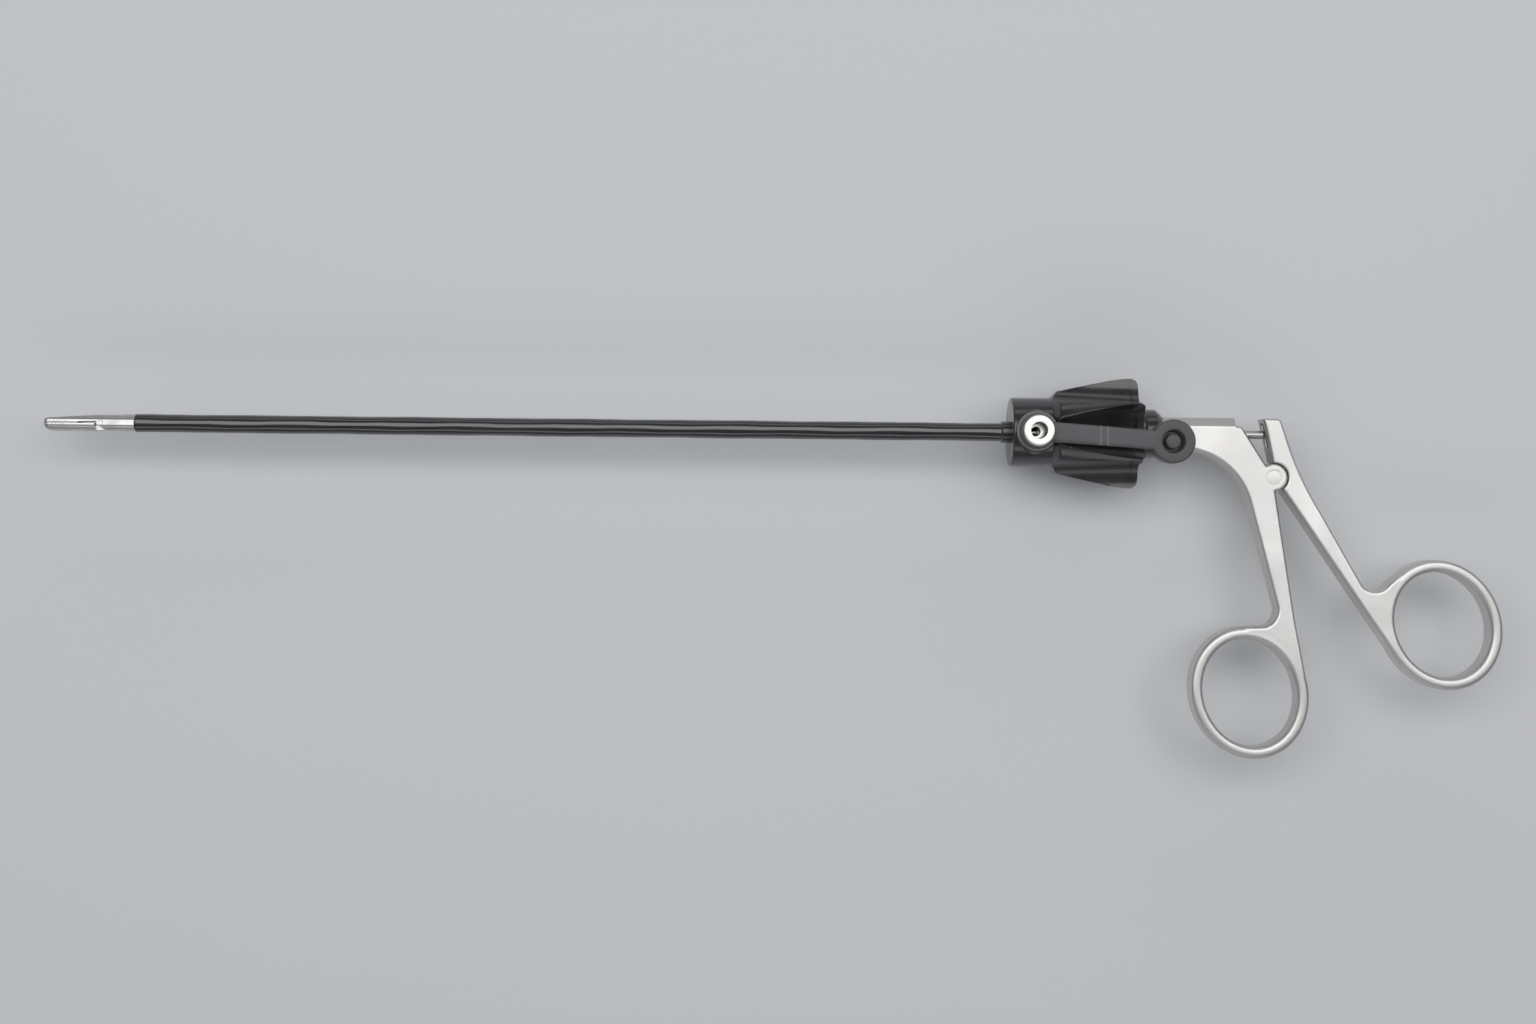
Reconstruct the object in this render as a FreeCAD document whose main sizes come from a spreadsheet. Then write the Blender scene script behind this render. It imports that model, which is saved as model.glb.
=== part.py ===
import FreeCAD, Part
import math
import os
import Sketcher

# Laparoscopic grasper with a ring handle, a turning knob and a single-action jaw.
# Millimetres. The shaft axis is the X axis, with the jaws towards -X and the handle towards +X.
# The finger rings lie in the XY plane, below the shaft. The flushing port points along +Z.
# The origin is on the shaft axis, where the bare shaft leaves the knob's ferrule.

DOC = FreeCAD.newDocument("grasper")

# Driving sizes: name, value in millimetres, degrees or a plain count.
SIZES = [
    # shaft and rod
    ("shaft_diameter", 5.0),
    ("insulated_length", 232.3),
    ("insulation_wall", 0.28),
    ("insulation_seat", 0.17),
    ("tube_wall", 0.37),
    ("rod_diameter", 2.2),
    ("slip_fit", 0.03),
    ("run_fit", 0.06),
    # jaws, measured from the hinge
    ("hinge_reach", 9.0),
    ("jaw_length", 15.9),
    ("jaw_diameter", 4.6),
    ("jaw_flat", 2.2),
    ("jaw_back_at_hinge", 2.25),
    ("jaw_back_at_tip", 1.07),
    ("jaw_nose_radius", 1.6),
    ("teeth_start", 6.2),
    ("tooth_pitch", 1.05),
    ("tooth_depth", 0.4),
    ("bite_gap", 0.06),
    ("slit_gap", 0.3),
    ("jaw_angle", 40.0),
    ("rod_travel", 2.8),
    ("pin_rest", 4.7),
    ("hinge_pin_diameter", 1.2),
    ("drive_pin_diameter", 0.8),
    ("tang_thickness", 1.5),
    ("tang_hub", 1.5),
    ("tang_rim", 0.4),
    ("clevis_bore", 3.0),
    ("spigot_diameter", 3.6),
    ("spigot_length", 6.0),
    # knob, measured from its front face
    ("ferrule_length", 2.4),
    ("ferrule_seat", 2.0),
    ("ferrule_diameter", 5.8),
    ("collar_diameter", 18.6),
    ("collar_length", 10.6),
    ("fin_root", 11.2),
    ("fin_start", 12.3),
    ("fin_crest", 14.75),
    ("fin_crest_at", 29.8),
    ("fin_end", 34.4),
    ("fin_corner", 2.4),
    ("flute_count", 6),
    ("flute_start", 11.0),
    ("flute_front_radius", 6.3),
    ("flute_rear_radius", 8.25),
    ("flute_front_height", 16.0),
    ("flute_rear_height", 16.2),
    ("hub_diameter", 13.0),
    ("hub_end", 38.7),
    ("knob_length", 40.3),
    ("tail_diameter", 10.4),
    ("seal_bore_at", 7.9),
    ("seal_bore", 8.06),
    ("bearing_bore_at", 16.3),
    ("bearing_bore", 8.6),
    # flushing port and its tethered cap
    ("port_setback", 6.1),
    ("port_boss_diameter", 11.2),
    ("port_boss_top", 10.25),
    ("port_neck_diameter", 6.4),
    ("port_flange_diameter", 8.3),
    ("port_flange_bottom", 11.75),
    ("port_top", 14.3),
    ("port_floor", 4.6),
    ("luer_mouth_diameter", 4.3),
    ("luer_depth", 7.5),
    ("luer_taper", 0.06),
    ("flush_channel_diameter", 2.6),
    ("eyelet_diameter", 9.4),
    ("strap_thickness", 1.4),
    ("strap_width", 5.2),
    ("strap_bow_radius", 104.0),
    ("cap_reach", 35.7),
    ("cap_drop", 2.4),
    ("cap_diameter", 11.6),
    ("cap_bottom", 6.95),
    ("cap_mouth_diameter", 6.4),
    ("cap_groove_diameter", 5.1),
    ("cap_plug_diameter", 3.8),
    # handle, measured from the pivot
    ("pivot_x", 72.8),
    ("pivot_drop", 11.5),
    ("barrel_height", 8.8),
    ("handle_thickness", 7.0),
    ("slant_angle", 122.6),
    ("barrel_bevel", 2.3),
    ("knob_gap", 0.4),
    ("ear_radius", 3.8),
    ("ear_gap", 0.15),
    ("tongue_thickness", 2.4),
    ("pivot_pin_diameter", 3.4),
    ("edge_chamfer", 0.5),
    ("ring_width", 31.2),
    ("ring_height", 35.8),
    ("ring_wall", 3.25),
    ("ring_depth", 6.4),
    ("ring_bevel", 1.0),
    ("finger_ring_dx", -5.7),
    ("finger_ring_dy", -57.7),
    ("finger_ring_tilt", 110.0),
    ("thumb_ring_dx", 45.7),
    ("thumb_ring_dy", -39.0),
    ("thumb_ring_tilt", 118.0),
    ("spindle_shank_diameter", 4.6),
    ("spindle_shank_length", 10.0),
    ("lever_angle", 14.0),
    ("ball_diameter", 3.0),
    ("ball_play", 0.2),
    ("ball_offset", 0.1),
    ("head_lean", 11.5),
    ("cross_pin_diameter", 1.2),
]

SHEET = DOC.addObject("Spreadsheet::Sheet", "Sizes")
for row, (size_name, size_value) in enumerate(SIZES, start=1):
    SHEET.set(f"A{row}", size_name)
    SHEET.set(f"B{row}", repr(size_value))
    SHEET.setAlias(f"B{row}", size_name)
DOC.recompute()


class Size:
    """A number that remembers the sheet formula it comes from."""

    def __init__(self, value, formula):
        self.value = float(value)
        self.formula = formula

    def __add__(self, other):
        other = as_size(other)
        return Size(self.value + other.value, f"({self.formula} + {other.formula})")

    def __sub__(self, other):
        other = as_size(other)
        return Size(self.value - other.value, f"({self.formula} - {other.formula})")

    def __mul__(self, other):
        other = as_size(other)
        return Size(self.value * other.value, f"({self.formula} * {other.formula})")

    def __truediv__(self, other):
        other = as_size(other)
        return Size(self.value / other.value, f"({self.formula} / {other.formula})")

    def __neg__(self):
        return Size(-self.value, f"(0 - {self.formula})")

    def __radd__(self, other):
        return as_size(other) + self

    def __rsub__(self, other):
        return as_size(other) - self

    def __rmul__(self, other):
        return as_size(other) * self


def as_size(value):
    """A plain number as a Size with its own text as formula."""
    return value if isinstance(value, Size) else Size(value, f"({float(value):.6f})")


def cosine(angle):
    """Cosine of an angle in degrees."""
    return Size(math.cos(math.radians(angle.value)), f"cos({angle.formula})")


def sine(angle):
    """Sine of an angle in degrees."""
    return Size(math.sin(math.radians(angle.value)), f"sin({angle.formula})")


def root(area):
    """Square root."""
    return Size(math.sqrt(area.value), f"sqrt({area.formula})")


S = {name: Size(value, f"Sizes.{name}") for name, value in SIZES}


def bind(item, path, size):
    """Ties one property of an object to the sheet."""
    item.setExpression(path, as_size(size).formula)


# Sketch and feature helpers

def new_body(name):
    return DOC.addObject("PartDesign::Body", name)


def origin_feature(body, role):
    return next(f for f in body.Origin.OriginFeatures if f.Role == role)


def new_sketch(body, name, plane, height=None):
    """A sketch on one of the body's own origin planes, lifted off it by height."""
    sketch = body.newObject("Sketcher::SketchObject", name)
    sketch.AttachmentSupport = [(origin_feature(body, plane), "")]
    sketch.MapMode = "FlatFace"
    if height is not None:
        bind(sketch, "AttachmentOffset.Base.z", height)
    return sketch


def set_point(sketch, edge, position, x, y):
    """Fixes one point of a sketch edge by its distances from the sketch's origin."""
    for kind, size in (("DistanceX", x), ("DistanceY", y)):
        index = sketch.addConstraint(Sketcher.Constraint(kind, -1, 1, edge, position, size.value))
        bind(sketch, f"Constraints[{index}]", size)


def arc_geometry(start, end, radius, turn):
    """The short arc from start to end. turn is 1 where it bends left and -1 where it bends right."""
    chord = end - start
    half = chord.Length / 2
    middle = (start + end) * 0.5
    left = FreeCAD.Vector(-chord.y, chord.x, 0).normalize()
    centre = middle + left * (turn * math.sqrt(max(radius * radius - half * half, 0)))
    first, last = (start, end) if turn > 0 else (end, start)
    begin = math.atan2(first.y - centre.y, first.x - centre.x)
    finish = math.atan2(last.y - centre.y, last.x - centre.x)
    if finish < begin:
        finish += 2 * math.pi
    circle = Part.Circle(centre, FreeCAD.Vector(0, 0, 1), radius)
    return Part.ArcOfCircle(circle, begin, finish)


def draw_outline(sketch, corners):
    """A closed outline. Each corner is (x, y), or (x, y, radius, turn) where an arc arrives at it."""
    first = sketch.GeometryCount
    points = [(as_size(corner[0]), as_size(corner[1])) for corner in corners]
    places = [FreeCAD.Vector(x.value, y.value, 0) for x, y in points]
    ends = []
    for number, corner in enumerate(corners):
        if len(corner) == 2:
            sketch.addGeometry(Part.LineSegment(places[number - 1], places[number]), False)
            ends.append((1, 2))
        else:
            radius, turn = as_size(corner[2]), corner[3]
            sketch.addGeometry(arc_geometry(places[number - 1], places[number], radius.value, turn), False)
            ends.append((1, 2) if turn > 0 else (2, 1))
    for number, corner in enumerate(corners):
        following = (number + 1) % len(corners)
        edge, next_edge = first + number, first + following
        sketch.addConstraint(Sketcher.Constraint("Coincident", edge, ends[number][1], next_edge, ends[following][0]))
        set_point(sketch, edge, ends[number][1], *points[number])
        if len(corner) > 2:
            radius = as_size(corner[2])
            index = sketch.addConstraint(Sketcher.Constraint("Radius", edge, radius.value))
            bind(sketch, f"Constraints[{index}]", radius)


def draw_circle(sketch, x, y, radius):
    x, y, radius = as_size(x), as_size(y), as_size(radius)
    centre = FreeCAD.Vector(x.value, y.value, 0)
    edge = sketch.addGeometry(Part.Circle(centre, FreeCAD.Vector(0, 0, 1), radius.value), False)
    set_point(sketch, edge, 3, x, y)
    index = sketch.addConstraint(Sketcher.Constraint("Radius", edge, radius.value))
    bind(sketch, f"Constraints[{index}]", radius)


def rectangle(x_low, y_low, x_high, y_high):
    return [(x_low, y_low), (x_high, y_low), (x_high, y_high), (x_low, y_high)]


def revolve(body, corners, plane="XY_Plane", axis="H_Axis"):
    """Turns a closed half profile about the sketch's horizontal or vertical axis."""
    sketch = new_sketch(body, body.Name + "_profile", plane)
    draw_outline(sketch, corners)
    feature = body.newObject("PartDesign::Revolution", body.Name + "_turned")
    feature.Profile = sketch
    feature.ReferenceAxis = (sketch, [axis])
    feature.Angle = 360
    return feature


def pad(body, sketch, length, symmetric=True, name="pad"):
    feature = body.newObject("PartDesign::Pad", f"{body.Name}_{name}")
    feature.Profile = sketch
    bind(feature, "Length", length)
    if symmetric:
        feature.SideType = "Symmetric"
    return feature


def pocket(body, sketch, length, symmetric=True, upward=False, name="pocket"):
    feature = body.newObject("PartDesign::Pocket", f"{body.Name}_{name}")
    feature.Profile = sketch
    bind(feature, "Length", length)
    if symmetric:
        feature.SideType = "Symmetric"
    feature.Reversed = upward
    return feature


def plate(name, corners, thickness, plane="XY_Plane"):
    """A flat body with one outline, centred on its plane."""
    body = new_body(name)
    sketch = new_sketch(body, name + "_outline", plane)
    draw_outline(sketch, corners)
    pad(body, sketch, thickness)
    return body


def turned_tube(name, x_start, x_end, inner_radius, outer_radius):
    """A plain tube on the shaft axis."""
    body = new_body(name)
    revolve(body, rectangle(x_start, inner_radius, x_end, outer_radius))
    return body


def round_bar(name, x, y, radius, length):
    """A plain round bar along Z, centred on the XY plane."""
    bar = DOC.addObject("Part::Cylinder", name)
    bind(bar, "Radius", radius)
    bind(bar, "Height", length)
    bind(bar, "Placement.Base.x", x)
    bind(bar, "Placement.Base.y", y)
    bind(bar, "Placement.Base.z", -as_size(length) / 2)
    return bar


def join(name, kind, shapes):
    """A fusion or a common part of several shapes."""
    result = DOC.addObject("Part::Multi" + kind, name)
    result.Shapes = shapes
    result.Refine = True
    return result


def cut(name, base, tool):
    result = DOC.addObject("Part::Cut", name)
    result.Base = base
    result.Tool = tool
    result.Refine = True
    return result


NODES = {}


def keep(name, item):
    """Names a finished piece."""
    item.Label = name
    NODES[name] = item
    return item


# Places along the shaft that several pieces share

SHAFT_RADIUS = S["shaft_diameter"] / 2
SEAT_RADIUS = SHAFT_RADIUS - S["insulation_seat"]
JAW_RADIUS = S["jaw_diameter"] / 2
TUBE_RADIUS = SHAFT_RADIUS - S["insulation_wall"] - S["slip_fit"]
TUBE_BORE = TUBE_RADIUS - S["tube_wall"]
ROD_RADIUS = S["rod_diameter"] / 2
SHOULDER = -S["insulated_length"]
HINGE = SHOULDER - S["hinge_reach"]
TIP = HINGE - S["jaw_length"]
SPIGOT_END = SHOULDER + S["spigot_length"]
DRIVE_PIN = HINGE + S["pin_rest"]
KNOB_FACE = S["ferrule_length"]
PORT_X = KNOB_FACE + S["port_setback"]
SEAL_FLOOR = KNOB_FACE + S["seal_bore_at"]
BEARING_FLOOR = KNOB_FACE + S["bearing_bore_at"]
KNOB_END = KNOB_FACE + S["knob_length"]
BARREL_FRONT = KNOB_END + S["knob_gap"]
PIVOT = S["pivot_x"]
PIVOT_Y = -S["pivot_drop"]
BALL = PIVOT + S["ball_offset"]
THROUGH = 4 * S["handle_thickness"]


# Jaws

DRIVE_PIN_RADIUS = S["drive_pin_diameter"] / 2
HINGE_PIN_RADIUS = S["hinge_pin_diameter"] / 2
CAM_HALF_WIDTH = DRIVE_PIN_RADIUS + S["run_fit"]
TANG_TIP = S["pin_rest"] + CAM_HALF_WIDTH + S["tang_rim"]
TANG_SLOT = S["tang_thickness"] + 2 * S["run_fit"]
CHEEK_REAR = HINGE + TANG_TIP + 0.2
CHEEK_FRONT = HINGE - S["tang_hub"] - S["tang_rim"]
BORE_FRONT = HINGE + HINGE_PIN_RADIUS + S["tang_rim"]
JAW_STOCK = JAW_RADIUS + 0.5
TOOTH_COUNT = int((S["jaw_length"].value - S["teeth_start"].value) / S["tooth_pitch"].value)


def teeth(gap):
    """Corners of the teeth along the bite, from the hinge end to the tip, lowered by gap."""
    crest = S["tooth_depth"] / 2
    corners = [(HINGE - S["teeth_start"], crest - gap)]
    for tooth in range(TOOTH_COUNT):
        valley = HINGE - S["teeth_start"] - (tooth + 0.5) * S["tooth_pitch"]
        corners.append((valley, -crest - gap))
        corners.append((valley - S["tooth_pitch"] / 2, crest - gap))
    return corners


def jaw_plan(name):
    """The jaws seen from above: two side flats and a rounded nose."""
    flat = S["jaw_flat"]
    nose = S["jaw_nose_radius"]
    corners = [
        (SPIGOT_END, -flat),
        (SPIGOT_END, flat),
        (TIP + nose, flat),
        (TIP, flat - nose, nose, 1),
        (TIP, nose - flat),
        (TIP + nose, -flat, nose, 1),
    ]
    return plate(name, corners, 4 * S["shaft_diameter"], "XZ_Plane")


def cam_point(share):
    """Where the drive pin stands, from the hinge and in the moving jaw's own frame, after a share of the travel."""
    reach = S["pin_rest"] - share * S["rod_travel"]
    angle = share * S["jaw_angle"]
    return reach * cosine(angle), -reach * sine(angle)


def fixed_jaw():
    """Upper jaw in one piece with the clevis and the spigot that plugs into the tube."""
    blank = new_body("jaw_blank")
    revolve(blank, [
        (TIP - 1, 0),
        (BORE_FRONT, 0),
        (BORE_FRONT, S["clevis_bore"] / 2),
        (SPIGOT_END, S["clevis_bore"] / 2),
        (SPIGOT_END, S["spigot_diameter"] / 2),
        (SHOULDER, S["spigot_diameter"] / 2),
        (SHOULDER, JAW_RADIUS),
        (TIP - 1, JAW_RADIUS),
    ])
    slot = new_sketch(blank, "tang_slot", "XZ_Plane")
    draw_outline(slot, rectangle(CHEEK_FRONT, -TANG_SLOT / 2, CHEEK_REAR, TANG_SLOT / 2))
    pocket(blank, slot, 2 * S["shaft_diameter"], name="tang_gap")
    eye = new_sketch(blank, "hinge_eye", "XY_Plane")
    draw_circle(eye, HINGE, 0, HINGE_PIN_RADIUS)
    pocket(blank, eye, 2 * S["shaft_diameter"], name="hinge_hole")
    notch_x, notch_y = HINGE - 1.1, as_size(-0.45)
    side = plate("upper_side", [
        (SPIGOT_END, -JAW_STOCK),
        (SPIGOT_END, JAW_STOCK),
        (HINGE + 2.4, JAW_STOCK),
        (HINGE, S["jaw_back_at_hinge"]),
        (TIP + 0.55, S["jaw_back_at_tip"]),
        (TIP, S["jaw_back_at_tip"] - 0.55, 0.6, 1),
        (TIP, S["tooth_depth"] / 2),
        *reversed(teeth(as_size(0))),
        (HINGE - S["teeth_start"] + 0.1, S["slit_gap"] / 2),
        (notch_x, S["slit_gap"]),
        (notch_x, notch_y),
        (HINGE + 2.2, -JAW_STOCK),
    ], 2 * S["shaft_diameter"])
    return join("fixed_jaw", "Common", [blank, side, jaw_plan("upper_plan")])


def moving_jaw():
    """Lower jaw with its thin tang, which holds the hinge eye and the curved cam slot."""
    rear = HINGE - S["tang_hub"] - 0.1
    stock = new_body("lower_stock")
    revolve(stock, rectangle(TIP - 1, 0, rear, JAW_RADIUS))
    crest = S["tooth_depth"] / 2 - S["bite_gap"]
    side = plate("lower_side", [
        (rear, -JAW_STOCK),
        (rear, -S["slit_gap"] / 2),
        (HINGE - S["teeth_start"] + 0.1, -S["slit_gap"] / 2),
        *teeth(S["bite_gap"]),
        (TIP, crest),
        (TIP, -0.9),
        (TIP + 3.3, -JAW_RADIUS, 5.0, 1),
        (TIP + 4.0, -JAW_STOCK),
    ], 2 * S["shaft_diameter"])
    grip = join("lower_grip", "Common", [stock, side, jaw_plan("lower_plan")])

    tang = new_body("tang")
    hub = S["tang_hub"]
    rim = CAM_HALF_WIDTH + S["tang_rim"]
    low = as_size(-2.1)
    outline = new_sketch(tang, "tang_outline", "XY_Plane")
    draw_outline(outline, [
        (HINGE - 3, -S["slit_gap"]),
        (HINGE - 3, -1.9),
        (HINGE - 1.2, low),
        (HINGE + 2.2, low),
        (HINGE + S["pin_rest"] + 0.64 * rim, -0.77 * rim),
        (HINGE + S["pin_rest"], rim, rim, 1),
        (HINGE + 0.4 * hub, 0.9165 * hub),
        (HINGE - hub, 0, hub, 1),
        (HINGE - hub, -S["slit_gap"]),
    ])
    pad(tang, outline, S["tang_thickness"])
    eye = new_sketch(tang, "tang_eye", "XY_Plane")
    draw_circle(eye, HINGE, 0, HINGE_PIN_RADIUS + S["run_fit"])
    pocket(tang, eye, S["shaft_diameter"], name="eye")
    cam = new_sketch(tang, "cam_slot", "XY_Plane")
    draw_cam_slot(cam)
    pocket(tang, cam, S["shaft_diameter"], name="cam")
    return join("moving_jaw", "Fuse", [grip, tang])


def draw_cam_slot(sketch):
    """Curved slot that the drive pin runs in: an arc through the pin's places at rest, half way and open."""
    start, middle, end = [cam_point(share) for share in (0, 0.5, 1)]
    # the arc's centre is where the perpendicular bisectors of the two chords meet
    ax, ay = start
    bx, by = middle
    cx, cy = end
    a_square = ax * ax + ay * ay
    b_square = bx * bx + by * by
    c_square = cx * cx + cy * cy
    spread = 2 * (ax * (by - cy) + bx * (cy - ay) + cx * (ay - by))
    centre_x = (a_square * (by - cy) + b_square * (cy - ay) + c_square * (ay - by)) / spread
    centre_y = (a_square * (cx - bx) + b_square * (ax - cx) + c_square * (bx - ax)) / spread
    radius = root((ax - centre_x) * (ax - centre_x) + (ay - centre_y) * (ay - centre_y))
    inner, outer = radius - CAM_HALF_WIDTH, radius + CAM_HALF_WIDTH

    def on_arc(point, distance):
        x, y = point
        share = distance / radius
        return HINGE + centre_x + (x - centre_x) * share, centre_y + (y - centre_y) * share

    def beyond(point, side):
        x, y = point
        reach = side * CAM_HALF_WIDTH / radius
        return HINGE + x + (y - centre_y) * reach, y - (x - centre_x) * reach

    draw_outline(sketch, [
        (*on_arc(end, inner), inner, -1),
        (*beyond(end, as_size(1)), CAM_HALF_WIDTH, 1),
        (*on_arc(end, outer), CAM_HALF_WIDTH, 1),
        (*on_arc(start, outer), outer, 1),
        (*beyond(start, as_size(-1)), CAM_HALF_WIDTH, 1),
        (*on_arc(start, inner), CAM_HALF_WIDTH, 1),
    ])


keep("fixed_jaw", fixed_jaw())
keep("moving_jaw", moving_jaw())
keep("jaw_hinge_pin", round_bar("jaw_hinge_pin", HINGE, 0, HINGE_PIN_RADIUS, 2 * S["jaw_flat"] - 0.02))


# Rod with its fork, drive pin and ball

FORK_FRONT = DRIVE_PIN - DRIVE_PIN_RADIUS - S["tang_rim"]
FORK_SLOT_END = DRIVE_PIN + 2.5
FORK_SOCKET = FORK_SLOT_END + 0.4
FORK_END = FORK_SOCKET + 1.6
FORK_RADIUS = S["clevis_bore"] / 2 - S["run_fit"]


def rod_fork():
    """Fork that straddles the moving jaw's tang and carries the drive pin."""
    body = new_body("rod_fork")
    revolve(body, [
        (FORK_FRONT, 0),
        (FORK_SOCKET, 0),
        (FORK_SOCKET, ROD_RADIUS + S["slip_fit"]),
        (FORK_END, ROD_RADIUS + S["slip_fit"]),
        (FORK_END, FORK_RADIUS),
        (FORK_FRONT, FORK_RADIUS),
    ])
    slot = new_sketch(body, "fork_slot", "XZ_Plane")
    draw_outline(slot, rectangle(FORK_FRONT - 1, -TANG_SLOT / 2, FORK_SLOT_END, TANG_SLOT / 2))
    pocket(body, slot, S["shaft_diameter"], name="slot")
    eye = new_sketch(body, "fork_eye", "XY_Plane")
    draw_circle(eye, DRIVE_PIN, 0, DRIVE_PIN_RADIUS)
    pocket(body, eye, S["shaft_diameter"], name="eye")
    return body


def drive_rod():
    """Long rod with a turned neck and the ball that the thumb lever pulls."""
    body = new_body("drive_rod")
    ball = S["ball_diameter"] / 2
    neck = 0.55 * ball
    neck_end = BALL - root(ball * ball - neck * neck)
    revolve(body, [
        (FORK_SOCKET, 0),
        (FORK_SOCKET, ROD_RADIUS),
        (BALL - 1.7 * ball, ROD_RADIUS),
        (BALL - 1.4 * ball, neck),
        (neck_end, neck),
        (BALL + ball, 0, ball, -1),
    ])
    return body


keep("rod_fork", rod_fork())
keep("drive_rod", drive_rod())
keep("rod_drive_pin", round_bar("rod_drive_pin", DRIVE_PIN, 0, DRIVE_PIN_RADIUS, 2.8))


# Shaft

TUBE_END = SEAL_FLOOR + 3.6


def shaft_tube():
    """Steel tube from the jaw's shoulder into the knob, with the flushing hole in its side."""
    body = turned_tube("shaft_tube", SHOULDER, TUBE_END, TUBE_BORE, TUBE_RADIUS)
    hole = new_sketch(body, "flush_hole", "XY_Plane")
    draw_circle(hole, PORT_X, 0, S["flush_channel_diameter"] / 2 - 0.3)
    pocket(body, hole, S["shaft_diameter"], symmetric=False, upward=True)
    return body


def shaft_insulation():
    """Thin sleeve over the tube, necked where it runs through the ferrule into the knob."""
    body = new_body("shaft_insulation")
    bore = TUBE_RADIUS + S["slip_fit"]
    revolve(body, [
        (SHOULDER, bore),
        (KNOB_FACE + 3.0, bore),
        (KNOB_FACE + 3.0, SEAT_RADIUS),
        (0, SEAT_RADIUS),
        (0, SHAFT_RADIUS),
        (SHOULDER, SHAFT_RADIUS),
    ])
    return body


def nose_ferrule():
    """Steel ring where the shaft leaves the knob."""
    body = new_body("nose_ferrule")
    outer = S["ferrule_diameter"] / 2
    revolve(body, [
        (0, SEAT_RADIUS + S["slip_fit"]),
        (KNOB_FACE + S["ferrule_seat"], SEAT_RADIUS + S["slip_fit"]),
        (KNOB_FACE + S["ferrule_seat"], outer),
        (0.35, outer),
        (0, outer - 0.35),
    ])
    return body


keep("shaft_tube", shaft_tube())
keep("shaft_insulation", shaft_insulation())
keep("nose_ferrule", nose_ferrule())
SEAL_RADIUS = S["seal_bore"] / 2 - S["slip_fit"]
keep("tube_collar", turned_tube(
    "tube_collar", SEAL_FLOOR, TUBE_END, TUBE_RADIUS + S["slip_fit"], SEAL_RADIUS))


def rod_seal():
    """Rubber lip seal that the rod slides through."""
    body = new_body("rod_seal")
    start, end = TUBE_END + 0.05, TUBE_END + 1.85
    revolve(body, [
        (start, ROD_RADIUS + 0.5),
        (start + 0.5, ROD_RADIUS + S["slip_fit"]),
        (end - 0.5, ROD_RADIUS + S["slip_fit"]),
        (end, ROD_RADIUS + 0.5),
        (end, SEAL_RADIUS - 0.3),
        (start, SEAL_RADIUS - 0.3),
    ])
    return body


keep("rod_seal", rod_seal())
keep("seal_retainer", turned_tube(
    "seal_retainer", TUBE_END + 1.9, BEARING_FLOOR, ROD_RADIUS + 2 * S["run_fit"], SEAL_RADIUS))


# Knob

RING_GROOVE = BEARING_FLOOR + 3.2
RING_GROOVE_WIDTH = as_size(1.2)
BEARING_RADIUS = S["bearing_bore"] / 2


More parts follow.
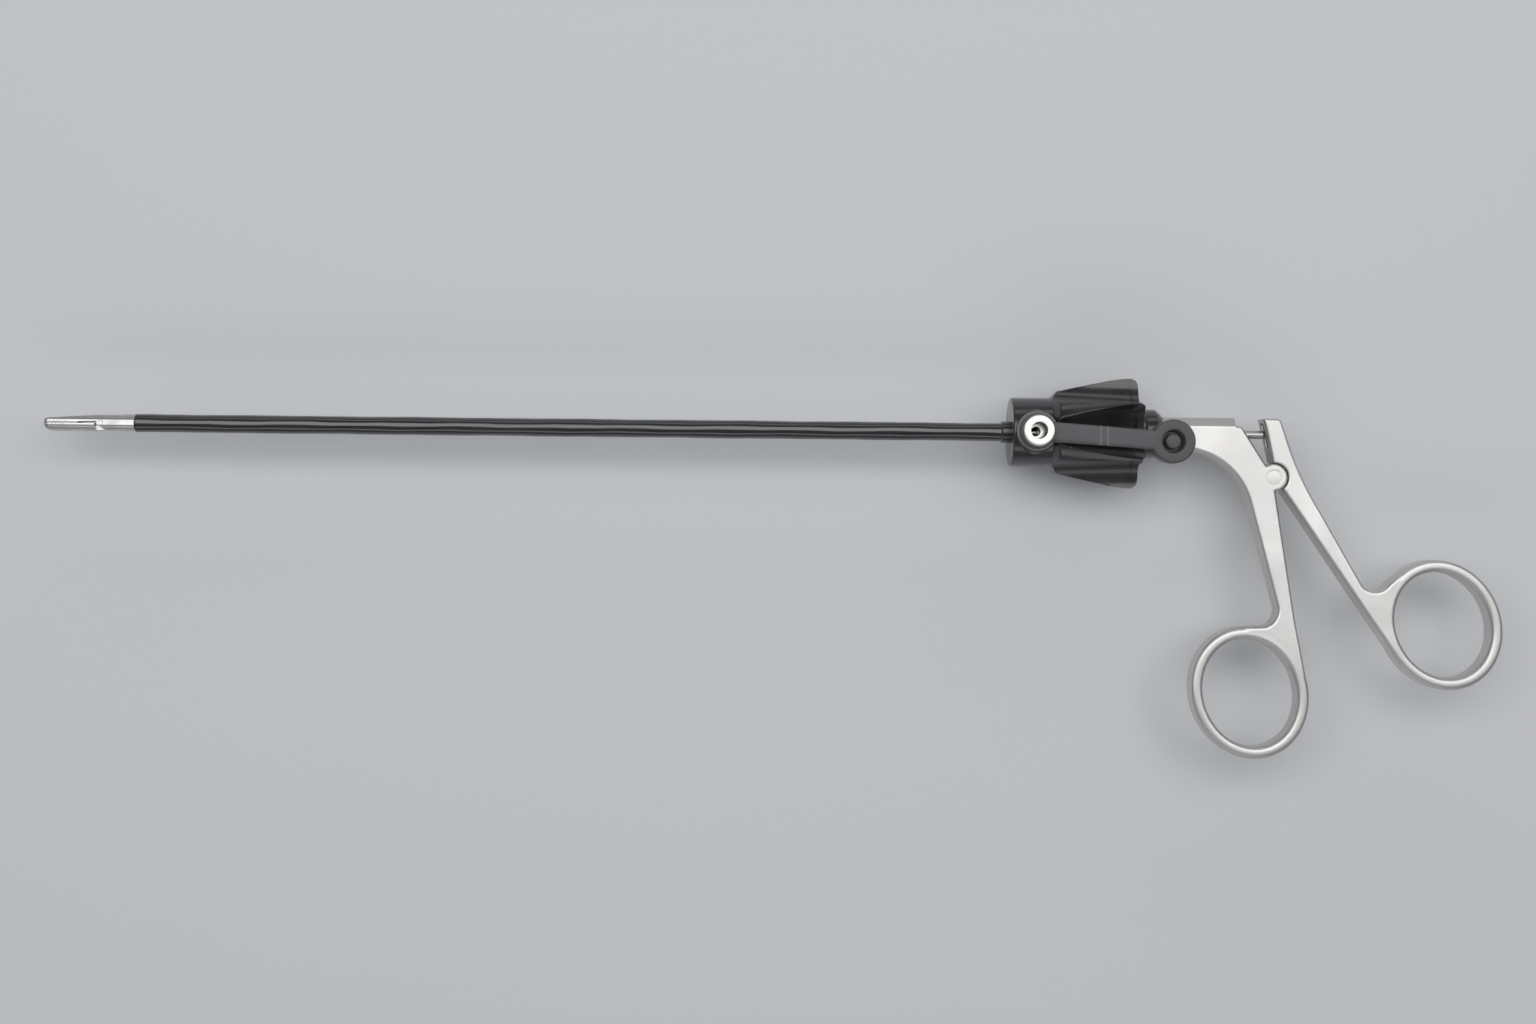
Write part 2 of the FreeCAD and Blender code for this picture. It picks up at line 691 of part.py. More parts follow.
def knob():
    """Turning knob: a collar for the port, six tapered finger flutes and a bearing hub."""
    body = new_body("knob")
    collar = S["collar_diameter"] / 2
    hub = S["hub_diameter"] / 2
    tube_way = TUBE_RADIUS + S["slip_fit"]
    rear = KNOB_FACE + S["fin_end"]
    revolve(body, [
        (KNOB_FACE, S["ferrule_diameter"] / 2 + S["slip_fit"]),
        (KNOB_FACE, collar - 0.35),
        (KNOB_FACE + 0.35, collar, 0.35, -1),
        (KNOB_FACE + S["collar_length"], collar),
        (KNOB_FACE + S["fin_start"], S["fin_root"]),
        (KNOB_FACE + S["fin_crest_at"], S["fin_crest"]),
        (rear - S["fin_corner"], S["fin_crest"]),
        (rear, S["fin_crest"] - S["fin_corner"], S["fin_corner"], -1),
        (rear, hub + 1.9),
        (rear + 0.8, hub + 1.9),
        (rear + 1.5, hub),
        (KNOB_FACE + S["hub_end"], hub),
        (KNOB_END, S["tail_diameter"] / 2),
        (KNOB_END, BEARING_RADIUS),
        (RING_GROOVE + RING_GROOVE_WIDTH, BEARING_RADIUS),
        (RING_GROOVE + RING_GROOVE_WIDTH, BEARING_RADIUS + 0.55),
        (RING_GROOVE, BEARING_RADIUS + 0.55),
        (RING_GROOVE, BEARING_RADIUS),
        (BEARING_FLOOR, BEARING_RADIUS),
        (BEARING_FLOOR, S["seal_bore"] / 2),
        (SEAL_FLOOR, S["seal_bore"] / 2),
        (SEAL_FLOOR, tube_way),
        (KNOB_FACE + 3.2, tube_way),
        (KNOB_FACE + 3.2, SEAT_RADIUS + S["slip_fit"]),
        (KNOB_FACE + S["ferrule_seat"] + 0.1, SEAT_RADIUS + S["slip_fit"]),
        (KNOB_FACE + S["ferrule_seat"] + 0.1, S["ferrule_diameter"] / 2 + S["slip_fit"]),
    ])
    flute = body.newObject("PartDesign::SubtractiveCone", "flute")
    run = S["fin_end"] + 1.6 - S["flute_start"]
    rise = S["flute_rear_height"] - S["flute_front_height"]
    bind(flute, "Radius1", S["flute_front_radius"])
    bind(flute, "Radius2", S["flute_rear_radius"])
    bind(flute, "Height", root(run * run + rise * rise))
    flute.Placement.Rotation = FreeCAD.Rotation(FreeCAD.Vector(0, 1, 0), 81)
    bind(flute, "Placement.Rotation.Angle", Size(0, f"atan({(run / rise).formula})"))
    bind(flute, "Placement.Base.x", KNOB_FACE + S["flute_start"])
    bind(flute, "Placement.Base.z", S["flute_front_height"])
    flutes = body.newObject("PartDesign::PolarPattern", "flutes")
    flutes.Originals = [flute]
    flutes.Axis = (origin_feature(body, "X_Axis"), [""])
    flutes.Angle = 360
    bind(flutes, "Occurrences", S["flute_count"])
    body.Tip = flutes
    boss = new_sketch(body, "port_boss", "XY_Plane", 5.5)
    draw_circle(boss, PORT_X, 0, S["port_boss_diameter"] / 2)
    pad(body, boss, S["port_boss_top"] - 5.5, symmetric=False, name="boss")
    seat = new_sketch(body, "port_seat", "XY_Plane", S["port_floor"])
    draw_circle(seat, PORT_X, 0, S["port_neck_diameter"] / 2 + S["slip_fit"])
    pocket(body, seat, 2 * S["port_boss_top"], symmetric=False, upward=True, name="port_hole")
    channel = new_sketch(body, "channel", "XY_Plane")
    draw_circle(channel, PORT_X, 0, S["flush_channel_diameter"] / 2)
    pocket(body, channel, S["port_boss_top"], symmetric=False, upward=True, name="flush_way")
    return body


keep("knob", knob())


# Flushing port, gasket and tethered cap

def standing_body(name, corners, x, y=0):
    """A body turned about an upright axis through (x, y). Corners are (radius, height)."""
    body = new_body(name)
    revolve(body, corners, "XZ_Plane", "V_Axis")
    bind(body, "Placement.Base.x", x)
    bind(body, "Placement.Base.y", y)
    return body


def flush_port():
    """Female Luer port of steel: a neck, a flange and a bore that narrows by the standard taper."""
    neck = S["port_neck_diameter"] / 2
    flange = S["port_flange_diameter"] / 2
    mouth = S["luer_mouth_diameter"] / 2
    channel = S["flush_channel_diameter"] / 2
    bottom = S["port_floor"] + 0.65
    throat = mouth - S["luer_taper"] * S["luer_depth"] / 2
    return standing_body("flush_port", [
        (channel, bottom),
        (neck, bottom),
        (neck, S["port_flange_bottom"]),
        (flange, S["port_flange_bottom"]),
        (flange, S["port_top"] - 0.35),
        (flange - 0.35, S["port_top"]),
        (mouth, S["port_top"]),
        (throat, S["port_top"] - S["luer_depth"]),
        (channel, S["port_top"] - S["luer_depth"]),
    ], PORT_X)


def port_gasket():
    """Flat rubber ring under the port."""
    channel = S["flush_channel_diameter"] / 2
    return standing_body("port_gasket", rectangle(
        channel, S["port_floor"], S["port_neck_diameter"] / 2, S["port_floor"] + 0.6), PORT_X)


def port_cap():
    """Rubber cap on a strap: an eyelet round the port's neck, a bowed strap and a plug in a groove."""
    top = S["port_flange_bottom"] - 0.05
    under = top - S["strap_thickness"]
    cap = S["cap_diameter"] / 2
    cap_x = PORT_X + S["cap_reach"]
    cap_y = -S["cap_drop"]
    eyelet = standing_body("cap_eyelet", rectangle(
        S["port_neck_diameter"] / 2 + S["slip_fit"], under, S["eyelet_diameter"] / 2, top), PORT_X)
    cup = standing_body("cap_cup", [
        (0, S["cap_bottom"]),
        (cap - 0.3, S["cap_bottom"]),
        (cap, S["cap_bottom"] + 0.3),
        (cap, top - 0.4),
        (cap - 0.4, top),
        (S["cap_mouth_diameter"] / 2, top),
        (S["cap_mouth_diameter"] / 2 - 0.1, top - 0.7),
        (S["cap_groove_diameter"] / 2, top - 0.7),
        (S["cap_groove_diameter"] / 2, S["cap_bottom"] + 1.45),
        (S["cap_plug_diameter"] / 2, S["cap_bottom"] + 1.45),
        (S["cap_plug_diameter"] / 2, top - 0.7),
        (S["cap_plug_diameter"] / 2 - 0.3, top - 0.4),
        (0, top - 0.4),
    ], cap_x, cap_y)
    start, end = PORT_X + 3.7, cap_x - 4.6
    half = S["strap_width"] / 2
    slope = cap_y / S["cap_reach"]
    plan = plate("strap_plan", [
        (start, half + 3.7 * slope),
        (start, 3.7 * slope - half),
        (end, cap_y - 4.6 * slope - half),
        (end, cap_y - 4.6 * slope + half),
    ], 4 * S["port_top"])
    side = plate("strap_side", [
        (start, under - 0.02),
        (end, under, S["strap_bow_radius"], -1),
        (end, top),
        (start, top - 0.08, S["strap_bow_radius"] + S["strap_thickness"], 1),
    ], 6 * S["strap_width"], "XZ_Plane")
    strap = join("strap", "Common", [plan, side])
    return join("port_cap", "Fuse", [eyelet, strap, cup])


keep("flush_port", flush_port())
keep("port_gasket", port_gasket())
keep("port_cap", port_cap())


# Spindle that joins the handle to the knob

SPINDLE_RADIUS = BEARING_RADIUS - S["run_fit"]
SPINDLE_FRONT = BEARING_FLOOR + 0.5
SPINDLE_END = BARREL_FRONT + S["spindle_shank_length"]
SPINDLE_BORE = ROD_RADIUS + 0.1
SHANK_RADIUS = S["spindle_shank_diameter"] / 2
FRICTION_GROOVE = RING_GROOVE + 6.5
FRICTION_WIDTH = as_size(0.9)
GROOVE_FLOOR = SPINDLE_RADIUS - 0.9


def handle_spindle():
    """Steel journal that the knob turns on, with grooves for its retaining ring and friction ring."""
    body = new_body("handle_spindle")
    friction_end = FRICTION_GROOVE + FRICTION_WIDTH + 0.2
    revolve(body, [
        (SPINDLE_FRONT, SPINDLE_BORE),
        (SPINDLE_END, SPINDLE_BORE),
        (SPINDLE_END, SHANK_RADIUS),
        (BARREL_FRONT, SHANK_RADIUS),
        (BARREL_FRONT, SPINDLE_RADIUS),
        (friction_end, SPINDLE_RADIUS),
        (friction_end, GROOVE_FLOOR),
        (FRICTION_GROOVE, GROOVE_FLOOR),
        (FRICTION_GROOVE, SPINDLE_RADIUS),
        (RING_GROOVE + RING_GROOVE_WIDTH, SPINDLE_RADIUS),
        (RING_GROOVE + RING_GROOVE_WIDTH, GROOVE_FLOOR),
        (RING_GROOVE, GROOVE_FLOOR),
        (RING_GROOVE, SPINDLE_RADIUS),
        (SPINDLE_FRONT + 0.4, SPINDLE_RADIUS),
        (SPINDLE_FRONT, SPINDLE_RADIUS - 0.4),
    ])
    pin = new_sketch(body, "cross_hole", "XY_Plane")
    draw_circle(pin, CROSS_PIN_X, CROSS_PIN_Y, S["cross_pin_diameter"] / 2)
    pocket(body, pin, THROUGH, name="cross_pin_hole")
    return body


def retaining_ring():
    """Open spring ring that keeps the knob on the spindle."""
    body = turned_tube(
        "retaining_ring", RING_GROOVE + 0.1, RING_GROOVE + RING_GROOVE_WIDTH - 0.1,
        GROOVE_FLOOR + S["slip_fit"], BEARING_RADIUS + 0.4)
    gap = new_sketch(body, "ring_gap", "XY_Plane")
    draw_outline(gap, rectangle(RING_GROOVE - 1, -S["bearing_bore"], RING_GROOVE + 3, 0))
    mouth = pocket(body, gap, 2.4, name="mouth")
    mouth.SideType = "Symmetric"
    return body


CROSS_PIN_X = BARREL_FRONT + S["spindle_shank_length"] / 2
CROSS_PIN_Y = SPINDLE_BORE + S["cross_pin_diameter"] / 2 + 0.15
keep("handle_spindle", handle_spindle())
keep("retaining_ring", retaining_ring())
keep("friction_ring", turned_tube(
    "friction_ring", FRICTION_GROOVE + 0.1, FRICTION_GROOVE + FRICTION_WIDTH + 0.1,
    GROOVE_FLOOR + S["slip_fit"], BEARING_RADIUS - S["slip_fit"]))
keep("spindle_cross_pin", round_bar(
    "spindle_cross_pin", CROSS_PIN_X, CROSS_PIN_Y, S["cross_pin_diameter"] / 2, S["handle_thickness"] - 0.6))


# Handle and lever

def ring_point(ring, share, turn):
    """A point of a ring's oval, in from its outer edge by a share of the wall, turned from its long axis."""
    inset = share * S["ring_wall"]
    tilt = S[ring + "_ring_tilt"]
    angle = as_size(turn)
    along = (S["ring_height"] / 2 - inset) * cosine(angle)
    across = (S["ring_width"] / 2 - inset) * sine(angle)
    x = PIVOT + S[ring + "_ring_dx"] + along * cosine(tilt) + across * sine(tilt)
    y = PIVOT_Y + S[ring + "_ring_dy"] + along * sine(tilt) - across * cosine(tilt)
    return x, y


def finger_loop(ring):
    """Oval ring for one finger, with every edge bevelled."""
    ovals = []
    for name, inset in (("outer", as_size(0)), ("inner", S["ring_wall"])):
        oval = DOC.addObject("Part::Ellipse", f"{ring}_{name}_oval")
        bind(oval, "MajorRadius", S["ring_height"] / 2 - inset)
        bind(oval, "MinorRadius", S["ring_width"] / 2 - inset)
        oval.Placement.Rotation = FreeCAD.Rotation(FreeCAD.Vector(0, 0, 1), 10)
        bind(oval, "Placement.Rotation.Angle", S[ring + "_ring_tilt"])
        bind(oval, "Placement.Base.x", PIVOT + S[ring + "_ring_dx"])
        bind(oval, "Placement.Base.y", PIVOT_Y + S[ring + "_ring_dy"])
        disc = DOC.addObject("Part::Extrusion", f"{ring}_{name}_disc")
        disc.Base = oval
        disc.DirMode = "Custom"
        disc.Dir = FreeCAD.Vector(0, 0, 1)
        disc.Solid = True
        disc.Symmetric = True
        bind(disc, "LengthFwd", S["ring_depth"])
        ovals.append(disc)
    band = cut(f"{ring}_band", *ovals)
    DOC.recompute()
    bevelled = DOC.addObject("Part::Chamfer", f"{ring}_loop")
    bevelled.Base = band
    top = S["ring_depth"].value / 2
    rims = [
        number for number, edge in enumerate(band.Shape.Edges, start=1)
        if abs(abs(edge.CenterOfMass.z) - top) < 0.01
    ]
    bevel = S["ring_bevel"].value
    bevelled.Edges = [(number, bevel, bevel) for number in rims]
    return bevelled


def chamfered_plate(name, corners):
    """The flat part of a handle half, with its front and back edges broken."""
    body = new_body(name)
    sketch = new_sketch(body, name + "_outline", "XY_Plane")
    draw_outline(sketch, corners)
    block = pad(body, sketch, S["handle_thickness"])
    DOC.recompute()
    flats = [
        f"Face{number}" for number, face in enumerate(block.Shape.Faces, start=1)
        if abs(abs(face.normalAt(0, 0).z) - 1) < 1e-6
    ]
    edges = body.newObject("PartDesign::Chamfer", name + "_edges")
    edges.Base = (block, flats)
    bind(edges, "Size", S["edge_chamfer"])
    body.Tip = edges
    return body


def from_pivot(x, y):
    """A point given by its distances from the pivot."""
    return PIVOT + x, PIVOT_Y + y


def from_ring(ring, x, y):
    """A point given by its distances from the middle of a finger ring."""
    return PIVOT + S[ring + "_ring_dx"] + x, PIVOT_Y + S[ring + "_ring_dy"] + y


# the slanted rear edge of the handle points at the pivot
SLANT = S["slant_angle"]
SLANT_X = cosine(SLANT) / sine(SLANT)


def slant_at(y):
    """The point of the slanted edge at a height above the shaft axis."""
    return PIVOT + (as_size(y) - PIVOT_Y) * SLANT_X, as_size(y)


def handle_outline():
    """Fixed handle: barrel root, curved underside, slanted rear edge, ear and leg down to its ring."""
    ear = S["ear_radius"]
    face_top = S["barrel_height"] / 2 - S["barrel_bevel"]
    foot = S["barrel_height"] / 2
    return [
        (BARREL_FRONT + 6, face_top),
        (BARREL_FRONT + 6, -face_top),
        (BARREL_FRONT + 8, -foot),
        (*from_pivot(-6.3, -6.8), 19.5, -1),
        from_ring("finger", 6.8, 23.7),
        (*from_ring("finger", 3.9, 17.9), 4.5, -1),
        ring_point("finger", 0.0, 16.0),
        ring_point("finger", 0.5, 20.0),
        ring_point("finger", 0.5, 40.0),
        ring_point("finger", 0.5, 60.0),
        ring_point("finger", 0.5, 90.0),
        ring_point("finger", 0.05, 96.0),
        from_ring("finger", 11.8, 19.7),
        from_pivot(0.5, -ear),
        (PIVOT + ear, PIVOT_Y, ear + 0.02, 1),
        (PIVOT + ear * cosine(SLANT), PIVOT_Y + ear * sine(SLANT), ear + 0.02, 1),
        slant_at(face_top),
    ]


def barrel_prism():
    """Eight-sided barrel along the shaft axis."""
    body = new_body("barrel")
    sketch = new_sketch(body, "barrel_section", "YZ_Plane", BARREL_FRONT)
    high = S["barrel_height"] / 2
    wide = S["handle_thickness"] / 2
    bevel = S["barrel_bevel"]
    draw_outline(sketch, [
        (high, bevel - wide),
        (high, wide - bevel),
        (high - bevel, wide),
        (bevel - high, wide),
        (-high, wide - bevel),
        (-high, bevel - wide),
        (bevel - high, -wide),
        (high - bevel, -wide),
    ])
    pad(body, sketch, PIVOT - BARREL_FRONT - 10.2, symmetric=False)
    return body


def handle_tools():
    """Everything that is cut out of the fixed handle."""
    bores = new_body("handle_bores")
    bush = ROD_RADIUS * 2 + S["slip_fit"]
    revolve(bores, [
        (BARREL_FRONT - 1, 0),
        (BARREL_FRONT - 1, SHANK_RADIUS + S["slip_fit"]),
        (SPINDLE_END + 0.1, SHANK_RADIUS + S["slip_fit"]),
        (SPINDLE_END + 0.1, ROD_RADIUS + 0.4),
        (BUSH_FRONT, ROD_RADIUS + 0.4),
        (BUSH_FRONT, bush),
        (PIVOT, bush),
        (PIVOT, 0),
    ])
    gap = plate("slant_cut", [
        slant_at(12),
        slant_at(-7.2),
        (PIVOT + 12, -7.2),
        (PIVOT + 12, 12),
    ], THROUGH)
    slot = new_body("tongue_slot")
    disc = new_sketch(slot, "slot_disc", "XY_Plane")
    draw_circle(disc, PIVOT, PIVOT_Y, TONGUE_RADIUS + 2 * S["ear_gap"])
    pad(slot, disc, S["tongue_thickness"] + 2 * S["run_fit"])
    eye = round_bar("pivot_eye", PIVOT, PIVOT_Y, S["pivot_pin_diameter"] / 2, THROUGH)
    cross = round_bar("cross_eye", CROSS_PIN_X, CROSS_PIN_Y, S["cross_pin_diameter"] / 2, S["handle_thickness"] - 0.6)
    return join("handle_cuts", "Fuse", [bores, gap, slot, eye, cross])


TONGUE_RADIUS = S["ear_radius"] + S["ear_gap"]
BUSH_FRONT = SPINDLE_END + 5.0


def fixed_handle():
    plain = chamfered_plate("handle_plate", handle_outline())
    solid = join("handle_solid", "Fuse", [barrel_prism(), plain, finger_loop("finger")])
    return cut("fixed_handle", solid, handle_tools())


def lever_outline():
    """Thumb lever: head above the pivot, straight arm down to its ring."""
    return [
        from_pivot(-3.1, 16.7),
        from_pivot(-0.3, 4.0),
        from_pivot(2.6, -3.6),
        ring_point("thumb", 0.03, -106.0),
        ring_point("thumb", 0.5, -100.0),
        ring_point("thumb", 0.5, -60.0),
        ring_point("thumb", 0.5, -40.0),
        ring_point("thumb", 0.5, -20.0),
        ring_point("thumb", 0.0, -14.0),
        from_ring("thumb", -14.6, 10.8),
        (*from_ring("thumb", -21.5, 10.1), 4.6, -1),
        from_pivot(12.6, -9.0),
        (*from_pivot(2.1, 15.2), 85.0, -1),
        (*from_pivot(0.6, 16.7), 1.6, 1),
    ]


def lever_tools():
    """Everything that is cut out of the thumb lever."""
    reliefs = []
    for name, side in (("front_relief", 1), ("back_relief", -1)):
        body = new_body(name)
        sketch = new_sketch(body, name + "_disc", "XY_Plane", side * S["tongue_thickness"] / 2)
        draw_circle(sketch, PIVOT, PIVOT_Y, TONGUE_RADIUS)
        disc = pad(body, sketch, S["handle_thickness"], symmetric=False)
        disc.Reversed = side < 0
        reliefs.append(body)
    eye = round_bar("tongue_eye", PIVOT, PIVOT_Y, S["pivot_pin_diameter"] / 2 + S["run_fit"], THROUGH)
    channel = DOC.addObject("Part::Cylinder", "ball_channel")
    bind(channel, "Radius", S["ball_diameter"] / 2 + S["ball_play"])
    bind(channel, "Height", 12.0)
    channel.Placement.Rotation = FreeCAD.Rotation(FreeCAD.Vector(1, 0, 0), -90)
    lean = S["head_lean"]
    start = as_size(-3.4)
    turned = FreeCAD.Rotation(FreeCAD.Vector(0, 0, 1), lean.value).multiply(channel.Placement.Rotation)
    channel.Placement.Rotation = turned
    bind(channel, "Placement.Base.x", BALL - start * sine(lean))
    bind(channel, "Placement.Base.y", start * cosine(lean))
    throat = plate("rod_throat", [
        (BALL - start * sine(lean), start * cosine(lean)),
        (BALL - 12 * sine(lean), 12 * cosine(lean)),
        (BALL - 12 * sine(lean) - 8, 12 * cosine(lean)),
        (BALL - start * sine(lean) - 8, start * cosine(lean)),
    ], S["rod_diameter"] + 4 * S["run_fit"])
    return join("lever_cuts", "Fuse", [*reliefs, eye, channel, throat])


def thumb_lever():
    hub = new_body("tongue_hub")
    sketch = new_sketch(hub, "hub_disc", "XY_Plane")
    draw_circle(sketch, PIVOT, PIVOT_Y, TONGUE_RADIUS - 0.4)
    pad(hub, sketch, S["tongue_thickness"])
    plain = chamfered_plate("lever_plate", lever_outline())
    solid = join("lever_solid", "Fuse", [plain, hub, finger_loop("thumb")])
    return cut("thumb_lever", solid, lever_tools())


keep("fixed_handle", fixed_handle())
keep("thumb_lever", thumb_lever())
keep("rod_guide_bush", turned_tube(
    "rod_guide_bush", BUSH_FRONT, BUSH_FRONT + 4.0, ROD_RADIUS + S["run_fit"], 2 * ROD_RADIUS))
keep("pivot_pin", round_bar("pivot_pin", PIVOT, PIVOT_Y, S["pivot_pin_diameter"] / 2, S["handle_thickness"]))


# Checks and export

DOC.recompute()
faults = [item.Name for item in DOC.Objects if "Invalid" in item.State or "Error" in item.State]
for node_name, node in NODES.items():
    if node.Shape.isNull() or not node.Shape.isValid() or not node.Shape.Solids:
        faults.append(node_name)
if faults:
    raise RuntimeError("not built: " + ", ".join(faults))

os.makedirs("parts", exist_ok=True)
for node_name, node in NODES.items():
    node.Shape.exportStep(f"parts/{node_name}.step")
    box = node.Shape.BoundBox
    print(
        f"{node_name}: {len(node.Shape.Solids)} solid, {node.Shape.Volume:.1f} mm3,"
        f" X {box.XMin:.1f} to {box.XMax:.1f}, Y {box.YMin:.1f} to {box.YMax:.1f},"
        f" Z {box.ZMin:.1f} to {box.ZMax:.1f}"
    )
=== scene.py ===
import math
import bmesh
import bpy
import numpy as np
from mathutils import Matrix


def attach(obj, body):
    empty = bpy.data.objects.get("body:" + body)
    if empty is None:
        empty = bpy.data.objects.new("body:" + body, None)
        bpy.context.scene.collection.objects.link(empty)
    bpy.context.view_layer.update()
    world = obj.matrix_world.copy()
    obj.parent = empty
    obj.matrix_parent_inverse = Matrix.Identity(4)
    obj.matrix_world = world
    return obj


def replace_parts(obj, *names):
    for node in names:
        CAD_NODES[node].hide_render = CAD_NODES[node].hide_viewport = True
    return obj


# Looks of the laparoscopic grasper. Lengths in this script are millimetres until they reach a mesh.

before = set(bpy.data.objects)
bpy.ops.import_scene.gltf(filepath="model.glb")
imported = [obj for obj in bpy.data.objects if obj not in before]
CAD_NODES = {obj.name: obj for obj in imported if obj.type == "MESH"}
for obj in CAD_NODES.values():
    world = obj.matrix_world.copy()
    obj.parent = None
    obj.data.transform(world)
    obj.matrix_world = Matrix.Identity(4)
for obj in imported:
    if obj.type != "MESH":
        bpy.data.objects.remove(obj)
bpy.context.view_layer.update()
MM = 0.001
# Places of the strap's creases along X; the strap's colour also carries painted highlights there.
CREASES = (24.9, 26.7)


# Node groups that several finishes share

def new_group(name, inputs, outputs):
    """An empty shader node group with named sockets. Inputs are (name, kind, default)."""
    group = bpy.data.node_groups.new(name, "ShaderNodeTree")
    for label, kind, default in inputs:
        socket = group.interface.new_socket(label, in_out="INPUT", socket_type="NodeSocket" + kind)
        if default is not None:
            socket.default_value = default
    for label, kind in outputs:
        group.interface.new_socket(label, in_out="OUTPUT", socket_type="NodeSocket" + kind)
    return group, group.nodes.new("NodeGroupInput").outputs, group.nodes.new("NodeGroupOutput").inputs


def math_node(tree, operation, first, second=None, clamped=False):
    """The result of one sum on one or two values."""
    node = tree.nodes.new("ShaderNodeMath")
    node.operation = operation
    node.use_clamp = clamped
    tree.links.new(first, node.inputs[0])
    if second is not None:
        tree.links.new(second, node.inputs[1])
    return node.outputs["Value"]


def noise_node(tree, vector, stretch, scale, detail, distortion=0.0):
    """Soft noise at a vector that is first multiplied by the stretch, where one is given."""
    if stretch:
        squeeze = tree.nodes.new("ShaderNodeMapping")
        squeeze.inputs["Scale"].default_value = stretch
        tree.links.new(vector, squeeze.inputs["Vector"])
        vector = squeeze.outputs["Vector"]
    node = tree.nodes.new("ShaderNodeTexNoise")
    node.inputs["Detail"].default_value = detail
    node.inputs["Distortion"].default_value = distortion
    tree.links.new(vector, node.inputs["Vector"])
    tree.links.new(scale, node.inputs["Scale"])
    return node.outputs["Fac"]


def handled_surface_group():
    """Colour and roughness that drift between two values in soft smudges, with a fine grain for the bump."""
    group, given, result = new_group(
        "handled_surface",
        [
            ("Vector", "Vector", None), ("Clean Color", "Color", (0.5, 0.5, 0.5, 1)),
            ("Smudged Color", "Color", (0.4, 0.4, 0.4, 1)), ("Clean Roughness", "Float", 0.3),
            ("Smudged Roughness", "Float", 0.4), ("Smudge Scale", "Float", 60.0),
            ("Grain Scale", "Float", 3000.0), ("Grain Amount", "Float", 1.0),
        ],
        [("Color", "Color"), ("Roughness", "Float"), ("Height", "Float")],
    )
    nodes, link = group.nodes, group.links.new
    spread = nodes.new("ShaderNodeMapRange")
    spread.inputs["From Min"].default_value = 0.35
    spread.inputs["From Max"].default_value = 0.68
    smudge = noise_node(group, given["Vector"], None, given["Smudge Scale"], detail=4.0, distortion=0.6)
    link(smudge, spread.inputs["Value"])
    tint = nodes.new("ShaderNodeMix")
    tint.data_type = "RGBA"
    link(spread.outputs["Result"], tint.inputs["Factor"])
    link(given["Clean Color"], tint.inputs["A"])
    link(given["Smudged Color"], tint.inputs["B"])
    rough = nodes.new("ShaderNodeMapRange")
    link(spread.outputs["Result"], rough.inputs["Value"])
    link(given["Clean Roughness"], rough.inputs["To Min"])
    link(given["Smudged Roughness"], rough.inputs["To Max"])
    grain = noise_node(group, given["Vector"], None, given["Grain Scale"], detail=2.0)
    link(tint.outputs["Result"], result["Color"])
    link(rough.outputs["Result"], result["Roughness"])
    link(math_node(group, "MULTIPLY", grain, given["Grain Amount"]), result["Height"])
    return group


def drawn_lines_group():
    """Fine lines along X, as grinding or drawing leaves them, and slow waves of the surface under them."""
    group, given, result = new_group(
        "drawn_lines",
        [
            ("Vector", "Vector", None), ("Line Scale", "Float", 2500.0), ("Line Amount", "Float", 0.5),
            ("Wave Scale", "Float", 40.0), ("Wave Amount", "Float", 0.5),
        ],
        [("Height", "Float")],
    )
    parts = []
    for kind, along in (("Line", 0.02), ("Wave", 0.35)):
        noise = noise_node(group, given["Vector"], (along, 1.0, 1.0), given[kind + " Scale"], detail=1.5)
        parts.append(math_node(group, "MULTIPLY", noise, given[kind + " Amount"]))
    group.links.new(math_node(group, "ADD", *parts), result["Height"])
    return group


def crease_highlight_group():
    """Mask of a painted highlight: two soft lines across X at the strap's creases, and faint bands further
    along it, where light would catch the bent rubber.
    """
    group, given, result = new_group(
        "painted_crease_highlights",
        [
            ("Vector", "Vector", None), ("First Place", "Float", CREASES[0] * MM),
            ("Second Place", "Float", CREASES[1] * MM), ("Line Width", "Float", 0.5 * MM),
            ("Band Scale", "Float", 420.0), ("Band Amount", "Float", 0.3),
        ],
        [("Mask", "Float")],
    )
    nodes, link = group.nodes, group.links.new
    split = nodes.new("ShaderNodeSeparateXYZ")
    link(given["Vector"], split.inputs["Vector"])
    terms = []
    for place in ("First Place", "Second Place"):
        away = math_node(group, "SUBTRACT", split.outputs["X"], given[place])
        line = nodes.new("ShaderNodeMapRange")
        line.interpolation_type = "SMOOTHSTEP"
        line.inputs["To Min"].default_value = 1.0
        line.inputs["To Max"].default_value = 0.0
        link(math_node(group, "ABSOLUTE", away), line.inputs["Value"])
        link(given["Line Width"], line.inputs["From Max"])
        terms.append(line.outputs["Result"])
    bands = noise_node(group, given["Vector"], (1.0, 0.12, 0.12), given["Band Scale"], detail=1.0)
    terms.append(math_node(group, "MULTIPLY", bands, given["Band Amount"]))
    total = terms[0]
    for term in terms[1:]:
        total = math_node(group, "ADD", total, term, clamped=True)
    link(total, result["Mask"])
    return group


HANDLED_SURFACE = handled_surface_group()
# Mask of the painted highlights at the strap's creases and along faint bands.
CREASE_HIGHLIGHTS = crease_highlight_group()
DRAWN_LINES = drawn_lines_group()


